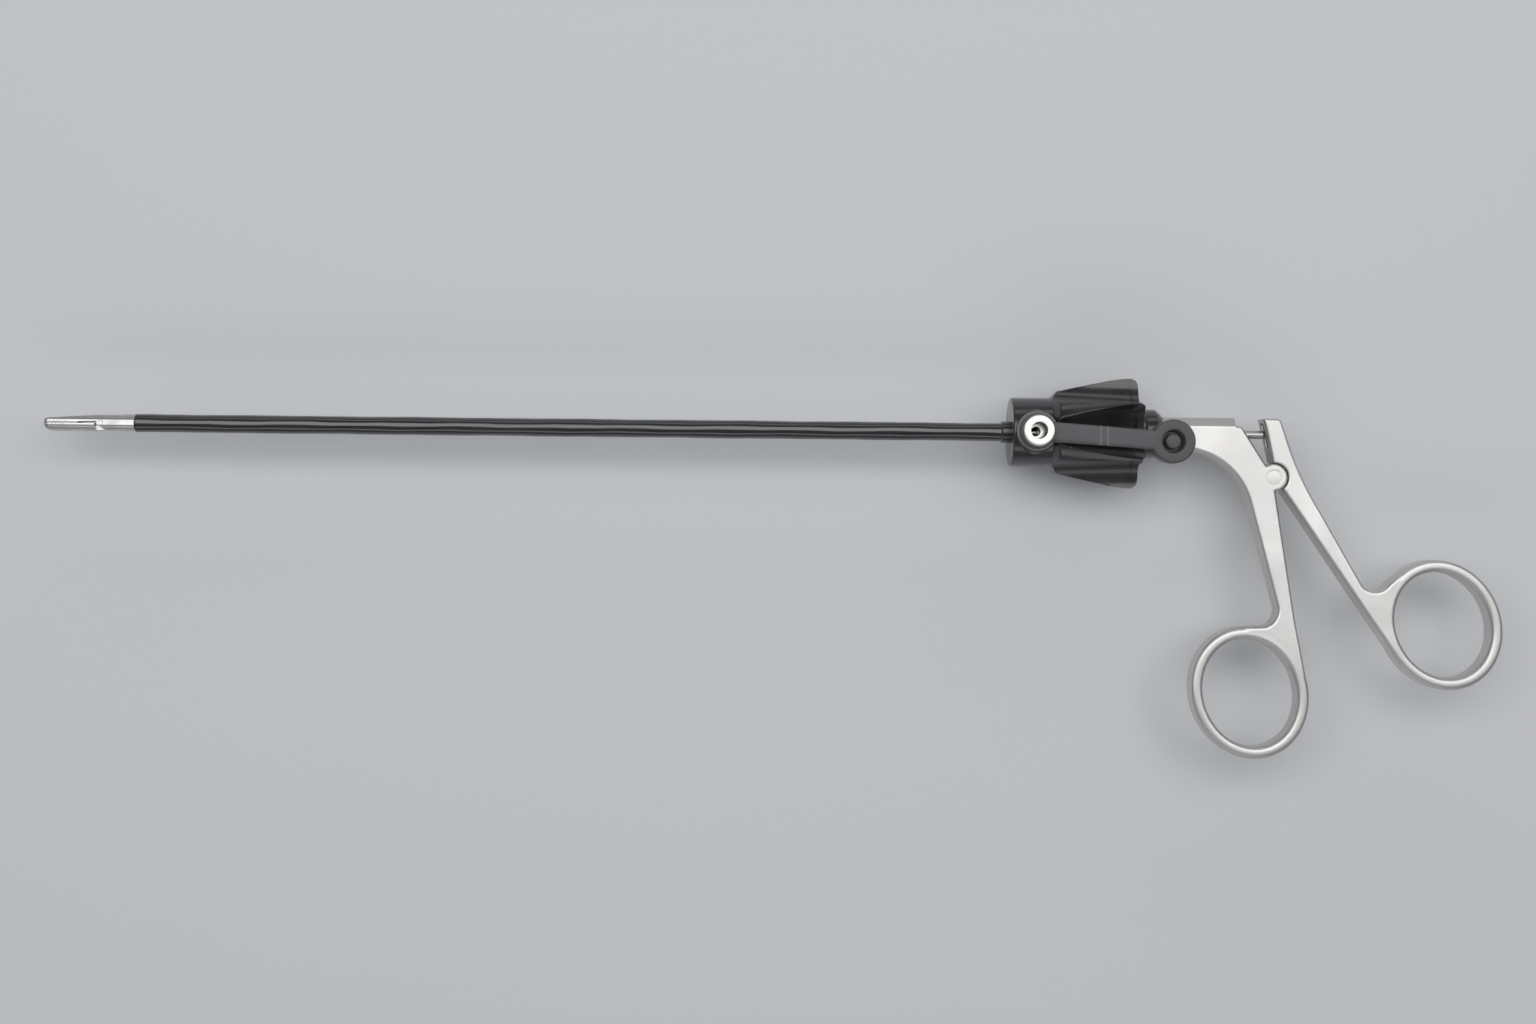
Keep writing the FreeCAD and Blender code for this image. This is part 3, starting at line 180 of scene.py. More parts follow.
def finish_material(name, surface, lines=None, bump=0.1, depth=0.05, **shader):
    """A material whose colour, roughness and bump come from the shared groups.

    surface and lines set the group inputs by name, bump and depth (mm) set the bump's strength and distance,
    and shader sets plain sockets of the Principled BSDF by name.
    """
    material = bpy.data.materials.new(name)
    material.use_nodes = True
    nodes, link = material.node_tree.nodes, material.node_tree.links.new
    principled = nodes["Principled BSDF"]
    place = nodes.new("ShaderNodeTexCoord")
    place.name = "place"
    skin = nodes.new("ShaderNodeGroup")
    skin.node_tree = HANDLED_SURFACE
    skin.label = "handled surface"
    skin.name = "skin"
    for label, value in surface.items():
        skin.inputs[label].default_value = value
    link(place.outputs["Object"], skin.inputs["Vector"])
    link(skin.outputs["Color"], principled.inputs["Base Color"])
    link(skin.outputs["Roughness"], principled.inputs["Roughness"])
    height = skin.outputs["Height"]
    if lines:
        drawn = nodes.new("ShaderNodeGroup")
        drawn.node_tree = DRAWN_LINES
        drawn.label = "drawn lines"
        for label, value in lines.items():
            drawn.inputs[label].default_value = value
        link(place.outputs["Object"], drawn.inputs["Vector"])
        height = math_node(material.node_tree, "ADD", height, drawn.outputs["Height"])
    relief = nodes.new("ShaderNodeBump")
    relief.inputs["Strength"].default_value = bump
    relief.inputs["Distance"].default_value = depth * MM
    link(height, relief.inputs["Height"])
    link(relief.outputs["Normal"], principled.inputs["Normal"])
    for label, value in shader.items():
        principled.inputs[label.replace("_", " ")].default_value = value
    return material


BLASTED_STEEL = finish_material(
    "blasted_steel",
    {
        "Clean Color": (0.70, 0.69, 0.67, 1), "Smudged Color": (0.64, 0.63, 0.61, 1),
        "Clean Roughness": 0.36, "Smudged Roughness": 0.43, "Smudge Scale": 45.0,
        "Grain Scale": 5200.0, "Grain Amount": 1.0,
    },
    bump=0.16, depth=0.08, Metallic=1.0,
)
JAW_STEEL = finish_material(
    "jaw_steel",
    {
        "Clean Color": (0.66, 0.65, 0.63, 1), "Smudged Color": (0.56, 0.55, 0.53, 1),
        "Clean Roughness": 0.28, "Smudged Roughness": 0.38, "Smudge Scale": 160.0,
        "Grain Scale": 9000.0, "Grain Amount": 0.3,
    },
    lines={"Line Scale": 6000.0, "Line Amount": 1.0, "Wave Scale": 200.0, "Wave Amount": 0.4},
    bump=0.04, depth=0.03, Metallic=1.0,
)
PORT_STEEL = finish_material(
    "port_steel",
    {
        "Clean Color": (0.68, 0.67, 0.64, 1), "Smudged Color": (0.60, 0.58, 0.55, 1),
        "Clean Roughness": 0.26, "Smudged Roughness": 0.36, "Smudge Scale": 220.0,
        "Grain Scale": 8000.0, "Grain Amount": 0.4,
    },
    bump=0.08, depth=0.04, Metallic=1.0,
)
ROD_STEEL = finish_material(
    "rod_steel",
    {
        "Clean Color": (0.64, 0.63, 0.61, 1), "Smudged Color": (0.50, 0.49, 0.48, 1),
        "Clean Roughness": 0.22, "Smudged Roughness": 0.36, "Smudge Scale": 120.0,
        "Grain Scale": 7000.0, "Grain Amount": 0.3,
    },
    lines={"Line Scale": 5000.0, "Line Amount": 0.8, "Wave Scale": 90.0, "Wave Amount": 0.3},
    bump=0.1, depth=0.05, Metallic=1.0,
)
SLEEVE_BLACK = finish_material(
    "insulation_black",
    {
        "Clean Color": (0.007, 0.007, 0.008, 1), "Smudged Color": (0.013, 0.013, 0.014, 1),
        "Clean Roughness": 0.15, "Smudged Roughness": 0.24, "Smudge Scale": 70.0,
        "Grain Scale": 2600.0, "Grain Amount": 0.25,
    },
    lines={"Line Scale": 900.0, "Line Amount": 0.2, "Wave Scale": 300.0, "Wave Amount": 0.6},
    bump=0.1, depth=0.06, Coat_Weight=0.6, Coat_Roughness=0.08, IOR=1.75,
)
KNOB_BLACK = finish_material(
    "knob_black",
    {
        "Clean Color": (0.012, 0.012, 0.013, 1), "Smudged Color": (0.020, 0.020, 0.022, 1),
        "Clean Roughness": 0.20, "Smudged Roughness": 0.31, "Smudge Scale": 90.0,
        "Grain Scale": 1500.0, "Grain Amount": 0.6,
    },
    bump=0.1, depth=0.06, Coat_Weight=0.4, Coat_Roughness=0.1, IOR=1.65,
)
CAP_RUBBER = finish_material(
    "cap_rubber",
    {
        "Clean Color": (0.066, 0.067, 0.070, 1), "Smudged Color": (0.096, 0.097, 0.101, 1),
        "Clean Roughness": 0.36, "Smudged Roughness": 0.50, "Smudge Scale": 130.0,
        "Grain Scale": 3800.0, "Grain Amount": 1.0,
    },
    bump=0.15, depth=0.08, Sheen_Weight=0.08, Sheen_Roughness=0.4,
)


def with_crease_highlights(material, light):
    """A copy of a finish whose colour turns lighter in a painted highlight at the strap's creases and along
    faint bands.
    """
    copy = material.copy()
    copy.name = material.name + "_strap"
    nodes, link = copy.node_tree.nodes, copy.node_tree.links.new
    marks = nodes.new("ShaderNodeGroup")
    marks.node_tree = CREASE_HIGHLIGHTS
    marks.label = "painted crease highlights"
    tint = nodes.new("ShaderNodeMix")
    tint.data_type = "RGBA"
    tint.inputs["B"].default_value = light
    link(nodes["place"].outputs["Object"], marks.inputs["Vector"])
    link(marks.outputs["Mask"], tint.inputs["Factor"])
    link(nodes["skin"].outputs["Color"], tint.inputs["A"])
    link(tint.outputs["Result"], nodes["Principled BSDF"].inputs["Base Color"])
    return copy


# The strap's rubber, with painted highlights at its creases and along faint bands.
STRAP_RUBBER = with_crease_highlights(CAP_RUBBER, (0.15, 0.15, 0.155, 1))
SEAL_RUBBER = finish_material(
    "seal_rubber",
    {
        "Clean Color": (0.02, 0.02, 0.02, 1), "Smudged Color": (0.035, 0.035, 0.036, 1),
        "Clean Roughness": 0.5, "Smudged Roughness": 0.65, "Smudge Scale": 150.0,
        "Grain Scale": 4000.0, "Grain Amount": 0.8,
    },
    bump=0.2, depth=0.08,
)


# Surfaces worked out on grids

MERGE_DISTANCE, SLIVER_LENGTH = 0.002, 0.001


def add_piece(name, points, faces, material, body, sharp=32.0):
    """Puts points (mm) and faces into a mesh, smooth except where faces meet at more than the sharp angle."""
    mesh = bpy.data.meshes.new(name)
    mesh.from_pydata((np.asarray(points) * MM).tolist(), [], np.asarray(faces).tolist())
    mesh.validate()
    return dress_mesh(name, mesh, material, body, sharp)


def dress_mesh(name, mesh, material, body, sharp):
    """Merges doubled points, turns the faces outwards, and gives the mesh its shading, material and body."""
    work = bmesh.new()
    work.from_mesh(mesh)
    bmesh.ops.remove_doubles(work, verts=work.verts, dist=MERGE_DISTANCE * MM)
    bmesh.ops.dissolve_degenerate(work, edges=work.edges, dist=SLIVER_LENGTH * MM)
    bmesh.ops.recalc_face_normals(work, faces=work.faces)
    work.to_mesh(mesh)
    work.free()
    mesh.polygons.foreach_set("use_smooth", np.ones(len(mesh.polygons), dtype=bool))
    mesh.set_sharp_from_angle(angle=math.radians(sharp))
    mesh.materials.clear()
    mesh.materials.append(material)
    piece = bpy.data.objects.new(name, mesh)
    bpy.context.scene.collection.objects.link(piece)
    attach(piece, body)
    return piece


def grid_quads(rows, columns, wrap_rows=False):
    """Quads of a rows by columns grid of points whose columns close on themselves."""
    row_count = rows if wrap_rows else rows - 1
    i, j = np.meshgrid(np.arange(row_count), np.arange(columns), indexing="ij")
    across, down = (j + 1) % columns, (i + 1) % rows
    return np.stack([i * columns + j, i * columns + across, down * columns + across, down * columns + j], -1)


def rounded_profile(corners, steps=5):
    """A polyline whose corners (x, y, radius) are replaced by quadratic curves.

    A curve starts and ends at the radius from its corner.
    """
    line = []
    for number, (x, y, radius) in enumerate(corners):
        here = np.array([x, y])
        if radius == 0 or number in (0, len(corners) - 1):
            line.append(here[None])
            continue
        before = np.array(corners[number - 1][:2]) - here
        after = np.array(corners[number + 1][:2]) - here
        start = here + before / np.linalg.norm(before) * radius
        end = here + after / np.linalg.norm(after) * radius
        t = np.linspace(0, 1, steps + 1)[:, None]
        line.append((1 - t) ** 2 * start + 2 * t * (1 - t) * here + t ** 2 * end)
    return np.concatenate(line)


def turned_z(name, corners, centre, material, body, steps=96, closed=True, sharp=32.0):
    """A rounded profile (radius, height) turned about the upright line through centre: x = cx + r cos a."""
    profile = rounded_profile(corners)
    angle = np.linspace(0, 2 * np.pi, steps, endpoint=False)
    radius, height = profile[:, :1], profile[:, 1:]
    points = np.stack([
        centre[0] + radius * np.cos(angle),
        centre[1] + radius * np.sin(angle),
        np.repeat(height, steps, 1),
    ], -1)
    faces = grid_quads(len(profile), steps, wrap_rows=closed)
    return add_piece(name, points.reshape(-1, 3), faces.reshape(-1, 4), material, body, sharp)


# Knob with six tapered flutes

KNOB_FACE = 2.4
PORT_X = KNOB_FACE + 6.1
PORT_HOLE_RADIUS, PORT_HOLE_FLOOR = 3.5, 6.0
BORE_RADIUS = 4.33
# Place along the shaft, height of the circle's centre and radius of the circle, at both ends of a flute
FLUTE_START, FLUTE_END = (13.4, 16.0, 6.3), (38.4, 16.2, 8.25)
FLUTE_COUNT = 6
FLUTED_RADIUS, PLAIN_RADIUS = 8.0, 5.0
NARROWEST_EDGE, WIDEST_EDGE = math.radians(1.5), math.radians(29.6)
RIDGE_SOFTNESS = 0.3


def knob_profile():
    """The knob's outline as (x, radius) from front bore to rear bore, with close points along the flutes."""
    corners = [
        (2.45, 2.95, 0), (KNOB_FACE, 8.6, 0), (KNOB_FACE, 9.3, 0.6), (13.0, 9.3, 0.5), (14.7, 11.2, 0.5),
        (32.2, 14.75, 3.0), (36.8, 14.75, 2.5), (36.8, 8.4, 0.25), (37.6, 8.4, 0.3), (38.3, 6.5, 0.2),
        (41.1, 6.5, 0.4), (42.7, 5.2, 0.3), (42.7, BORE_RADIUS, 0.1), (30.0, BORE_RADIUS, 0),
    ]
    line = rounded_profile(corners)
    plain_step, fluted_step, run_out_step = 3.0, 0.35, 0.15
    pieces = []
    for start, end in zip(line[:-1], line[1:]):
        step = plain_step
        if 13.1 < start[0] < 37.0 and start[1] > FLUTED_RADIUS:
            step = run_out_step if start[0] < 16.5 else fluted_step
        count = max(1, int(np.linalg.norm(end - start) / step))
        pieces.append(start + (end - start) * np.linspace(0, 1, count, endpoint=False)[:, None])
    return np.concatenate([*pieces, line[-1:]])


def flute_columns():
    """Where the columns of one flute stand, gathered at its edge, so that the ridge runs along the grid.

    0 is the flute's middle, 1 its edge and 2 the middle of the land beside it. Sine and cosine space them.
    """
    flute = np.sin(np.linspace(0, np.pi / 2, 21))
    land = 2 - np.cos(np.linspace(0, np.pi / 2, 9))
    half = np.concatenate([flute, land[1:]])
    return np.concatenate([-half[-2:0:-1], half])


def knob():
    """Radius at angle a: the outline's radius r, or the near side of the flute's circle where that is less.

    The circle's centre height H and radius R grow along the knob. A ray at an angle d from the flute's middle
    meets the circle at H cos d - sqrt(R^2 - (H sin d)^2). The flute's edge is where that is r, which is at
    cos d = (H^2 + r^2 - R^2) / (2 H r). The lesser of the two radii is taken with a softened corner.
    """
    profile = knob_profile()
    x, outline = profile[:, :1], profile[:, 1:]
    (x0, h0, r0), (x1, h1, r1) = FLUTE_START, FLUTE_END
    share = (x - x0) / (x1 - x0)
    height, reach = h0 + share * (h1 - h0), r0 + share * (r1 - r0)
    edge = np.arccos(np.clip((height ** 2 + outline ** 2 - reach ** 2) / (2 * height * outline), -1, 1))
    edge = np.clip(np.where(outline > FLUTED_RADIUS, edge, 0.1), NARROWEST_EDGE, WIDEST_EDGE)
    first = np.argmax(share[:, 0] > 0)
    edge[:first] = edge[first]
    place = flute_columns()[None]
    in_flute = np.clip(np.abs(place), 0, 1) * edge
    on_land = np.clip(np.abs(place) - 1, 0, 1) * (np.pi / FLUTE_COUNT - edge)
    off = np.tile(np.sign(place) * (in_flute + on_land), (1, FLUTE_COUNT))
    middles = np.arange(FLUTE_COUNT) * 2 * np.pi / FLUTE_COUNT
    angle = off + np.repeat(middles, place.shape[1])[None]
    seen = np.clip(off, -WIDEST_EDGE, WIDEST_EDGE)
    inside = reach ** 2 - (height * np.sin(seen)) ** 2
    cut = height * np.cos(seen) - np.sqrt(np.maximum(inside, 0))
    within = np.tile(np.abs(place) < 1, (1, FLUTE_COUNT))
    fluted = (share > 0) & (inside > 0) & (outline > PLAIN_RADIUS) & (within | (cut > outline))
    gap = np.clip(0.5 + 0.5 * (outline - cut) / RIDGE_SOFTNESS, 0, 1)
    blended = outline * (1 - gap) + cut * gap - RIDGE_SOFTNESS * gap * (1 - gap)
    radius = np.where(fluted, blended, outline)
    points = np.stack([
        np.repeat(x, angle.shape[1], 1),
        -radius * np.sin(angle),
        radius * np.cos(angle),
    ], -1)
    faces = grid_quads(len(profile), angle.shape[1]).reshape(-1, 4)
    flat = points.reshape(-1, 3)
    # Faces round the port's axis and on its side are left out, and the port's boss stands in their place
    middle = flat[faces].mean(1)
    from_port = np.hypot(middle[:, 0] - PORT_X, middle[:, 1])
    port = (middle[:, 2] > PORT_HOLE_FLOOR) & (from_port < PORT_HOLE_RADIUS)
    return add_piece("knob_shell", flat, faces[~port], KNOB_BLACK, "shaft", sharp=80.0)


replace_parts(knob(), "knob")
turned_z(
    "port_boss",
    [(3.25, 6.0, 0), (3.25, 10.25, 0.1), (5.6, 10.25, 0.35), (5.6, 8.2, 0.8), (6.0, 7.2, 0), (5.5, 6.0, 0)],
    (PORT_X, 0), KNOB_BLACK, "shaft",
)
turned_z(
    "port_well", [(3.24, 9.0, 0), (3.24, 4.6, 0), (1.3, 4.6, 0), (1.3, 2.3, 0)],
    (PORT_X, 0), KNOB_BLACK, "shaft", closed=False,
)


# Steel port, rubber eyelet, strap and cap

CAP_X, CAP_Y = PORT_X + 35.7, -2.4
flush_port = turned_z(
    "flush_port_shell",
    [
        (1.3, 5.25, 0), (3.2, 5.25, 0.1), (3.2, 11.75, 0.1), (4.15, 11.75, 0.12), (4.15, 14.3, 0.45),
        (2.15, 14.3, 0.16), (1.93, 6.8, 0.05), (1.3, 6.8, 0.1),
    ],
    (PORT_X, 0), PORT_STEEL, "shaft",
)
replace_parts(flush_port, "flush_port")

turned_z(
    "cap_eyelet", [(3.25, 10.33, 0), (3.25, 11.7, 0.15), (4.7, 11.7, 0.4), (4.7, 10.33, 0.3)],
    (PORT_X, 0), CAP_RUBBER, "shaft",
)
cap_cup = turned_z(
    "cap_cup",
    [
        (0.0, 6.95, 0), (5.8, 6.95, 0.5), (5.8, 11.7, 0.55), (3.15, 11.7, 0.2), (2.75, 10.2, 0.1),
        (2.75, 8.4, 0.2), (2.0, 8.4, 0.2), (2.0, 11.3, 0.5), (0.0, 11.35, 0),
    ],
    (CAP_X, CAP_Y), CAP_RUBBER, "shaft", closed=False,
)


def strap():
    """A rounded flat section swept from the eyelet to the cap.

    The middle line bows up by a sine's half wave, with a slight double crease across it. The section is a
    superellipse about 5.2 mm wide and 1.4 mm thick.
    """
    rows, columns = 121, 40
    along = np.linspace(0, 1, rows)[:, None]
    around = np.linspace(0, 2 * np.pi, columns, endpoint=False)[None]
    start, end = np.array([PORT_X + 3.6, -0.25]), np.array([CAP_X - 5.0, CAP_Y * 0.88])
    x = start[0] + (end[0] - start[0]) * along
    drift = start[1] + (end[1] - start[1]) * along
    middle_height, bow_height, half_thickness = 11.02, 0.80, 0.68
    bow = bow_height * np.sin(np.pi * along)
    crease = 0.09 * np.exp(-((x - CREASES[0]) / 0.5) ** 2) + 0.07 * np.exp(-((x - CREASES[1]) / 0.6) ** 2)
    half_width = 2.66 - 0.1 * along
    cosine, sine = np.cos(around), np.sin(around)
    y = drift + half_width * np.sign(cosine) * np.abs(cosine) ** 0.32
    z = middle_height + bow + crease * (sine > 0) + half_thickness * np.sign(sine) * np.abs(sine) ** 0.5
    points = np.stack(np.broadcast_arrays(x, y, z), -1).reshape(-1, 3)
    faces = grid_quads(rows, columns).reshape(-1, 4).tolist()
    first, last = list(range(columns - 1, -1, -1)), list(range((rows - 1) * columns, rows * columns))
    mesh = bpy.data.meshes.new("cap_strap")
    mesh.from_pydata((points * MM).tolist(), [], [*faces, first, last])
    return dress_mesh("cap_strap", mesh, STRAP_RUBBER, "shaft", 50.0)


strap()
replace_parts(cap_cup, "port_cap")


# Sleeve on the shaft

def sleeve():
    """A tube along X whose outside is shrunk a little unevenly on the steel under it.

    Radius at place x and angle a: 2.5 mm less up to 0.14 mm, by the sum of three sines. Their crests are
    41, 23 and 9 mm apart along the tube, and wind round it two, three and one times. Both ends have a small
    bevel.
    """
    front, back, outside, inside = -232.3, 5.4, 2.5, 2.24
    end_margin, row_step, columns = 0.12, 0.75, 72
    along = np.arange(front + end_margin, back - end_margin, row_step)
    angle = np.linspace(0, 2 * np.pi, columns, endpoint=False)[None]
    x = along[:, None]
    waves = (
        np.sin(2 * np.pi * x / 41 + 2 * angle + 0.4)
        + 0.8 * np.sin(2 * np.pi * x / 23 - 3 * angle + 1.9)
        + 0.5 * np.sin(2 * np.pi * x / 9 + angle + 0.8 * np.sin(x / 17))
    )
    skin = outside - 0.03 * (2.3 + waves)
    rim = outside - 0.18
    place = np.concatenate([[[front], [front]], x, [[back], [back]]])
    place = np.repeat(place, columns, 1)
    front_rows = np.repeat([[inside], [rim]], columns, 1)
    radius = np.concatenate([front_rows, skin, front_rows[::-1]])
    points = np.stack([place, radius * np.sin(angle), radius * np.cos(angle)], -1)
    faces = grid_quads(len(points), columns, wrap_rows=True).reshape(-1, 4)
    return add_piece("sleeve", points.reshape(-1, 3), faces, SLEEVE_BLACK, "shaft")


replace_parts(sleeve(), "shaft_insulation")


# Cast handle halves: the CAD copy, its rounded finger ring and small fillings are skinned as one casting

PIVOT = np.array([72.8, -11.5])
FACE = 3.5
RING_HALF_HEIGHT, RING_HALF_WIDTH, RING_WALL = 17.9, 15.6, 3.25
FINGER_RING = (PIVOT + (-5.7, -57.7), math.radians(110))
THUMB_RING = (PIVOT + (45.7, -39.0), math.radians(118))
HEAD_START, HEAD_SHARE = 12, 0.80
HEAD_BRIDGE = [(-2.75, 15.2), (1.3, 15.2), (0.9, 16.65), (-3.02, 16.65)]
JAW_TIP, NOSE_LENGTH = -257.2, 1.9
NOSE_END = 0.96
RELAX_WEIGHT, PULL_IN, PUSH_BACK = 0.9, 0.5, -0.51
RING_ROUNDS, FADE_END, FADE_WIDTH = 30, 1.2, 0.2


def ring_share(x, y, ring):
    """How far out a point lies in a ring's oval: 1 on the outer edge, and about 0.8 on the inner one."""
    centre, tilt = ring
    dx, dy = x - centre[0], y - centre[1]
    along = dx * math.cos(tilt) + dy * math.sin(tilt)
    across = dy * math.cos(tilt) - dx * math.sin(tilt)
    return np.hypot(along / RING_HALF_HEIGHT, across / RING_HALF_WIDTH)


def ring_loop(ring):
    """A bar bent into the oval. Its section is a rectangle 3.25 mm wide and 7 mm deep with corners of 1.2 mm.

    A point inset by s from the outer edge is at ((17.9 - s) cos t, (15.6 - s) sin t), turned by the tilt.
    """
    centre, tilt = ring
    corner = 1.2
    quarter = np.linspace(0, np.pi / 2, 7)
    out = RING_WALL / 2 - corner + corner * np.sin(quarter)
    up = FACE - corner + corner * np.cos(quarter)
    across = np.concatenate([out, out[::-1], -out, -out[::-1]])
    height = np.concatenate([up, -up[::-1], -up, up[::-1]])
    inset = (RING_WALL / 2 - across)[None]
    turn = np.linspace(0, 2 * np.pi, 220, endpoint=False)[:, None]
    along = (RING_HALF_HEIGHT - inset) * np.cos(turn)
    side = (RING_HALF_WIDTH - inset) * np.sin(turn)
    points = np.stack([
        centre[0] + along * math.cos(tilt) - side * math.sin(tilt),
        centre[1] + along * math.sin(tilt) + side * math.cos(tilt),
        np.repeat(height[None], len(turn), 0),
    ], -1)
    faces = grid_quads(len(turn), len(across), wrap_rows=True).reshape(-1, 4)
    return points.reshape(-1, 3), faces.tolist()


def prism(outline, low, high):
    """A straight prism on a counter-clockwise outline between two heights."""
    flat = np.asarray(outline, float)
    count = len(flat)
    points = np.concatenate([np.column_stack([flat, np.full(count, z)]) for z in (low, high)])
    near = np.arange(count)
    far = (near + 1) % count
    sides = np.stack([near, far, far + count, near + count], -1).tolist()
    return points, [*sides, list(range(count - 1, -1, -1)), list(range(count, 2 * count))]


def relax(points, edges, weight, rounds):
    """Moves every point towards the mean of its neighbours by its weight, and back by a little more.

    So edges round off while the walls stay where they are.
    """
    degree = np.bincount(edges.ravel(), minlength=len(points)).astype(float)[:, None]
    for step in range(2 * rounds):
        total = np.zeros_like(points)
        for axis in range(3):
            total[:, axis] = (
                np.bincount(edges[:, 0], points[edges[:, 1], axis], len(points))
                + np.bincount(edges[:, 1], points[edges[:, 0], axis], len(points))
            )
        pull = PULL_IN if step % 2 == 0 else PUSH_BACK
        points = points + pull * weight[:, None] * (total / degree - points)
    return points


def casting(node, name, material, body, reshape, fillings, soft_near=None, skin=0.24, rounds=4):
    """Skins a CAD copy and its fillings as one closed surface of small squares, reshapes it and rounds it.

    skin is the squares' size in mm, rounds how often the edges are relaxed, and soft_near a function that
    weighs a further relaxing.
    """
    work = bmesh.new()
    work.from_mesh(CAD_NODES[node].data)
    bmesh.ops.remove_doubles(work, verts=work.verts, dist=MERGE_DISTANCE * MM)
    rough = bpy.data.meshes.new(name + "_rough")
    for points, faces in fillings:
        extra = bpy.data.meshes.new(name + "_filling")
        extra.from_pydata((points * MM).tolist(), [], faces)
        turned = bmesh.new()
        turned.from_mesh(extra)
        bmesh.ops.recalc_face_normals(turned, faces=turned.faces)
        turned.to_mesh(extra)
        turned.free()
        work.from_mesh(extra)
        bpy.data.meshes.remove(extra)
    work.to_mesh(rough)
    work.free()
    holder = bpy.data.objects.new(name + "_rough", rough)
    bpy.context.scene.collection.objects.link(holder)
    cover = holder.modifiers.new("skin", "REMESH")
    cover.mode = "VOXEL"
    cover.voxel_size = skin * MM
    covered = holder.evaluated_get(bpy.context.evaluated_depsgraph_get())
    skinned = bpy.data.meshes.new_from_object(covered)
    bpy.data.objects.remove(holder)
    bpy.data.meshes.remove(rough)
    spots = np.empty(len(skinned.vertices) * 3)
    skinned.vertices.foreach_get("co", spots)
    edges = np.empty(len(skinned.edges) * 2, dtype=np.int32)
    skinned.edges.foreach_get("vertices", edges)
    points, edges = spots.reshape(-1, 3) / MM, edges.reshape(-1, 2)
    points = relax(reshape(points), edges, np.full(len(points), RELAX_WEIGHT), rounds)
    if soft_near:
        points = relax(points, edges, soft_near(points), RING_ROUNDS)
    skinned.vertices.foreach_set("co", (points * MM).ravel())
    skinned.name = name
    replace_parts(dress_mesh(name, skinned, material, body, 60.0), node)


def near_ring(ring):
    """Weight for the rounding: full inside the ring's oval, and nothing a fifth of its size outside it."""
    def weight(points):
        share = ring_share(points[:, 0], points[:, 1], ring)
        return RELAX_WEIGHT * np.clip((FADE_END - share) / FADE_WIDTH, 0, 1)
    return weight


def lower_head(points):
    """The part of the lever's head that stands more than 12 mm above the pivot is pressed down by a fifth."""
    points = points.copy()
    height = points[:, 1] - PIVOT[1]
    lowered = HEAD_START + (height - HEAD_START) * HEAD_SHARE
    points[:, 1] = PIVOT[1] + np.where(height > HEAD_START, lowered, height)
    return points


def unchanged(points):
    """The points as they are."""
    return points


def round_nose(points):
    """The last 1.9 mm of the jaws narrow towards the middle line as a half ball does, by sqrt(1 - t^2).

    t runs from 0 at the start of the nose to 0.96 at its end.
    """
    points = points.copy()
    t = np.clip((JAW_TIP + NOSE_LENGTH - points[:, 0]) / NOSE_LENGTH, 0, NOSE_END)
    points[:, 1:] *= np.sqrt(1 - t ** 2)[:, None]
    return points


casting(
    "fixed_handle", "handle_frame", BLASTED_STEEL, "handle", unchanged,
    [ring_loop(FINGER_RING)], near_ring(FINGER_RING),
)
casting(
    "thumb_lever", "lever_arm", BLASTED_STEEL, "thumb_lever", lower_head,
    [ring_loop(THUMB_RING), prism(np.array(HEAD_BRIDGE) + PIVOT, -1.9, 1.9)], near_ring(THUMB_RING),
)
casting(
    "fixed_jaw", "front_jaw", JAW_STEEL, "shaft", round_nose, [], skin=0.09, rounds=10,
)
casting(
    "moving_jaw", "swinging_jaw", JAW_STEEL, "moving_jaw", round_nose, [], skin=0.08, rounds=10,
)
pivot_rivet = turned_z(
    "pivot_rivet",
    [
        (0, -3.51, 0), (2.0, -3.51, 0.12), (2.0, -3.2, 0), (1.7, -3.2, 0),
        (1.7, 3.2, 0), (2.0, 3.2, 0), (2.0, 3.51, 0.12), (0, 3.51, 0),
    ],
    PIVOT, BLASTED_STEEL, "handle", closed=False,
)
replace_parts(pivot_rivet, "pivot_pin")


# Finishes of the frame's own meshes

FINISHES = {
    "fixed_handle": BLASTED_STEEL, "thumb_lever": BLASTED_STEEL, "pivot_pin": BLASTED_STEEL,
    "handle_spindle": ROD_STEEL, "retaining_ring": ROD_STEEL, "spindle_cross_pin": ROD_STEEL,
    "rod_guide_bush": ROD_STEEL, "friction_ring": SEAL_RUBBER, "port_gasket": SEAL_RUBBER,
    "rod_seal": SEAL_RUBBER, "knob": KNOB_BLACK, "flush_port": PORT_STEEL, "port_cap": CAP_RUBBER,
    "nose_ferrule": KNOB_BLACK, "shaft_tube": ROD_STEEL, "shaft_insulation": SLEEVE_BLACK,
    "tube_collar": ROD_STEEL, "seal_retainer": ROD_STEEL, "fixed_jaw": JAW_STEEL, "moving_jaw": JAW_STEEL,
    "jaw_hinge_pin": JAW_STEEL, "drive_rod": ROD_STEEL, "rod_fork": ROD_STEEL, "rod_drive_pin": ROD_STEEL,
}
for node_name, material in FINISHES.items():
    mesh = CAD_NODES[node_name].data
    mesh.materials.clear()
    mesh.materials.append(material)


# Floor, lamps, world and camera

FLOOR_HEIGHT, FLOOR_REACH = -0.0156, 6

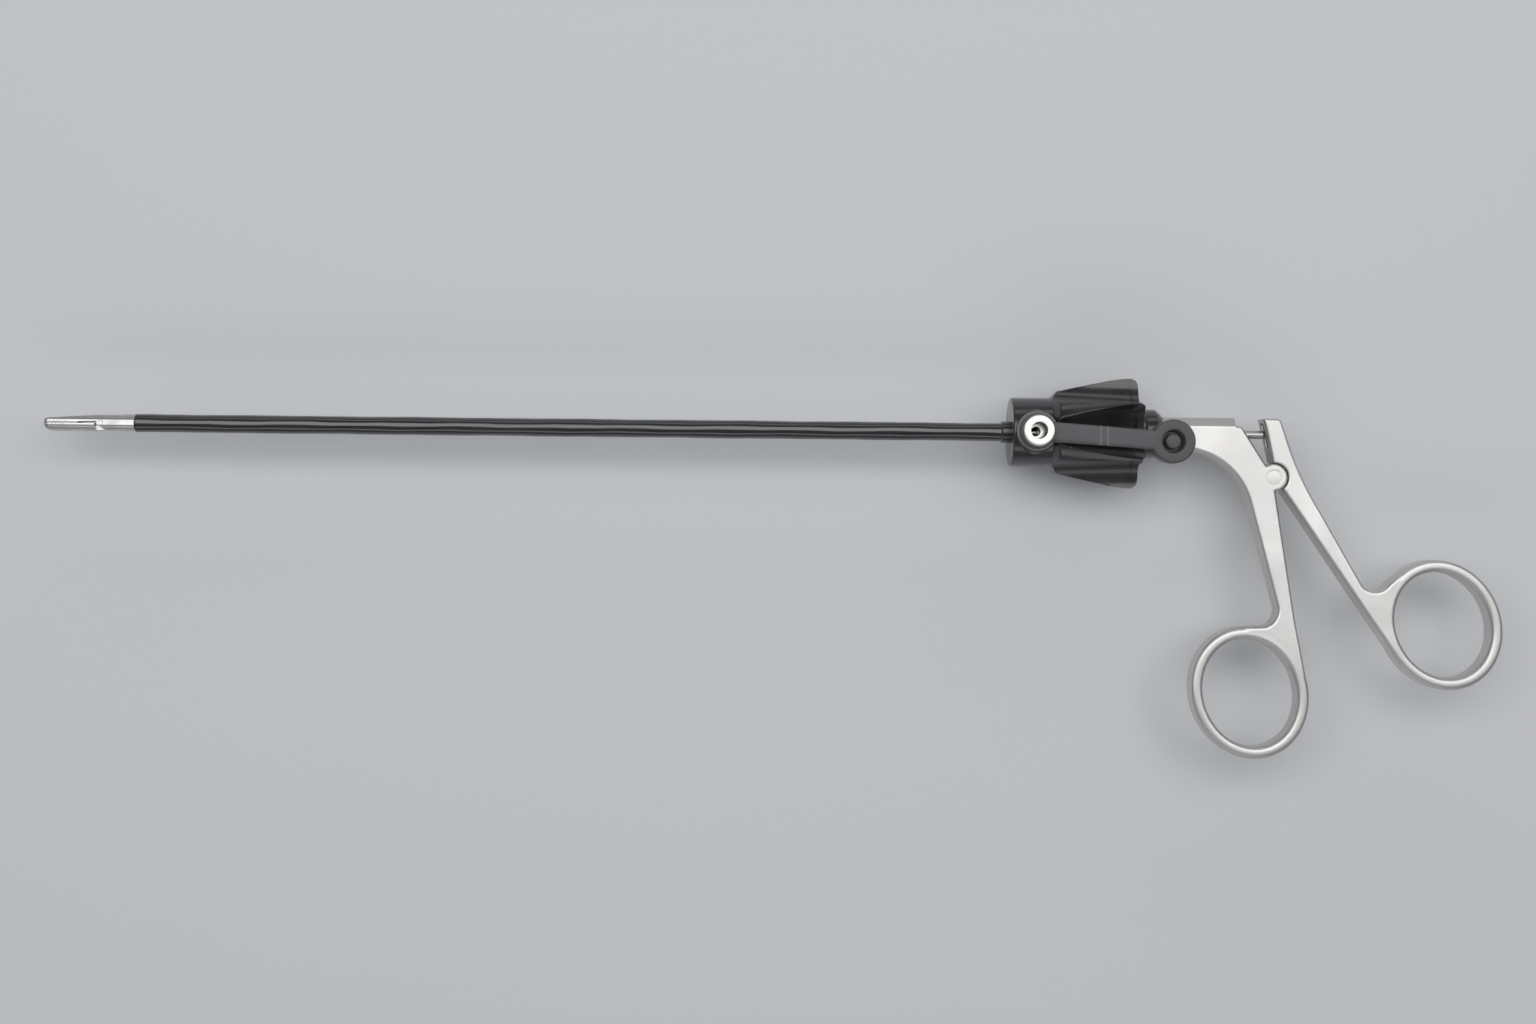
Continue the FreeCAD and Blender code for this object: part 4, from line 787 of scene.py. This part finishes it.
floor_material = bpy.data.materials.new("pale_floor")
floor_material.use_nodes = True
floor_shader = floor_material.node_tree.nodes["Principled BSDF"]
floor_shader.inputs["Base Color"].default_value = (0.72, 0.73, 0.74, 1)
floor_shader.inputs["Roughness"].default_value = 0.7
floor_mesh = bpy.data.meshes.new("floor")
floor_signs = [(-1, -1), (1, -1), (1, 1), (-1, 1)]
floor_corners = [(i * FLOOR_REACH, j * FLOOR_REACH, FLOOR_HEIGHT) for i, j in floor_signs]
floor_mesh.from_pydata(floor_corners, [], [(0, 1, 2, 3)])
floor_mesh.materials.append(floor_material)
floor = bpy.data.objects.new("floor", floor_mesh)
bpy.context.scene.collection.objects.link(floor)


def softbox(name, place, aim, size, watts):
    """A rectangular lamp at place, turned towards aim. Sizes and places in metres."""
    lamp = bpy.data.lights.new(name, "AREA")
    lamp.shape = "RECTANGLE"
    lamp.size, lamp.size_y = size
    lamp.energy = watts
    holder = bpy.data.objects.new(name, lamp)
    bpy.context.scene.collection.objects.link(holder)
    holder.location = place
    direction = np.array(aim) - np.array(place)
    tip = math.atan2(math.hypot(direction[0], direction[1]), -direction[2])
    heading = math.atan2(direction[0], -direction[1]) + math.pi
    holder.rotation_euler = (tip, 0, heading)


softbox("top_box", (-0.06, 0.26, 1.02), (-0.06, 0.0, 0), (2.0, 0.75), 8.6)
softbox("side_box", (0.1, 1.0, 0.35), (0, 0, 0), (1.4, 0.25), 1.0)
softbox("front_box", (-0.1, -0.95, 0.6), (0, -0.03, 0), (1.4, 0.3), 1.2)

world = bpy.data.worlds.new("studio")
world.use_nodes = True
bpy.context.scene.world = world
background = world.node_tree.nodes["Background"]
background.inputs["Color"].default_value = (0.9, 0.93, 1.0, 1)
background.inputs["Strength"].default_value = 0.20

camera_data = bpy.data.cameras.new("photo_camera")
camera_data.sensor_width = 36.0
camera_data.lens = 44.9
camera_data.clip_start = 0.01
camera = bpy.data.objects.new("photo_camera", camera_data)
bpy.context.scene.collection.objects.link(camera)
camera.location = (-0.06229, -0.02210, 0.515)
camera.rotation_euler = (0, 0, math.radians(0.607))
bpy.context.scene.camera = camera
bpy.context.scene.view_settings.view_transform = "Standard"
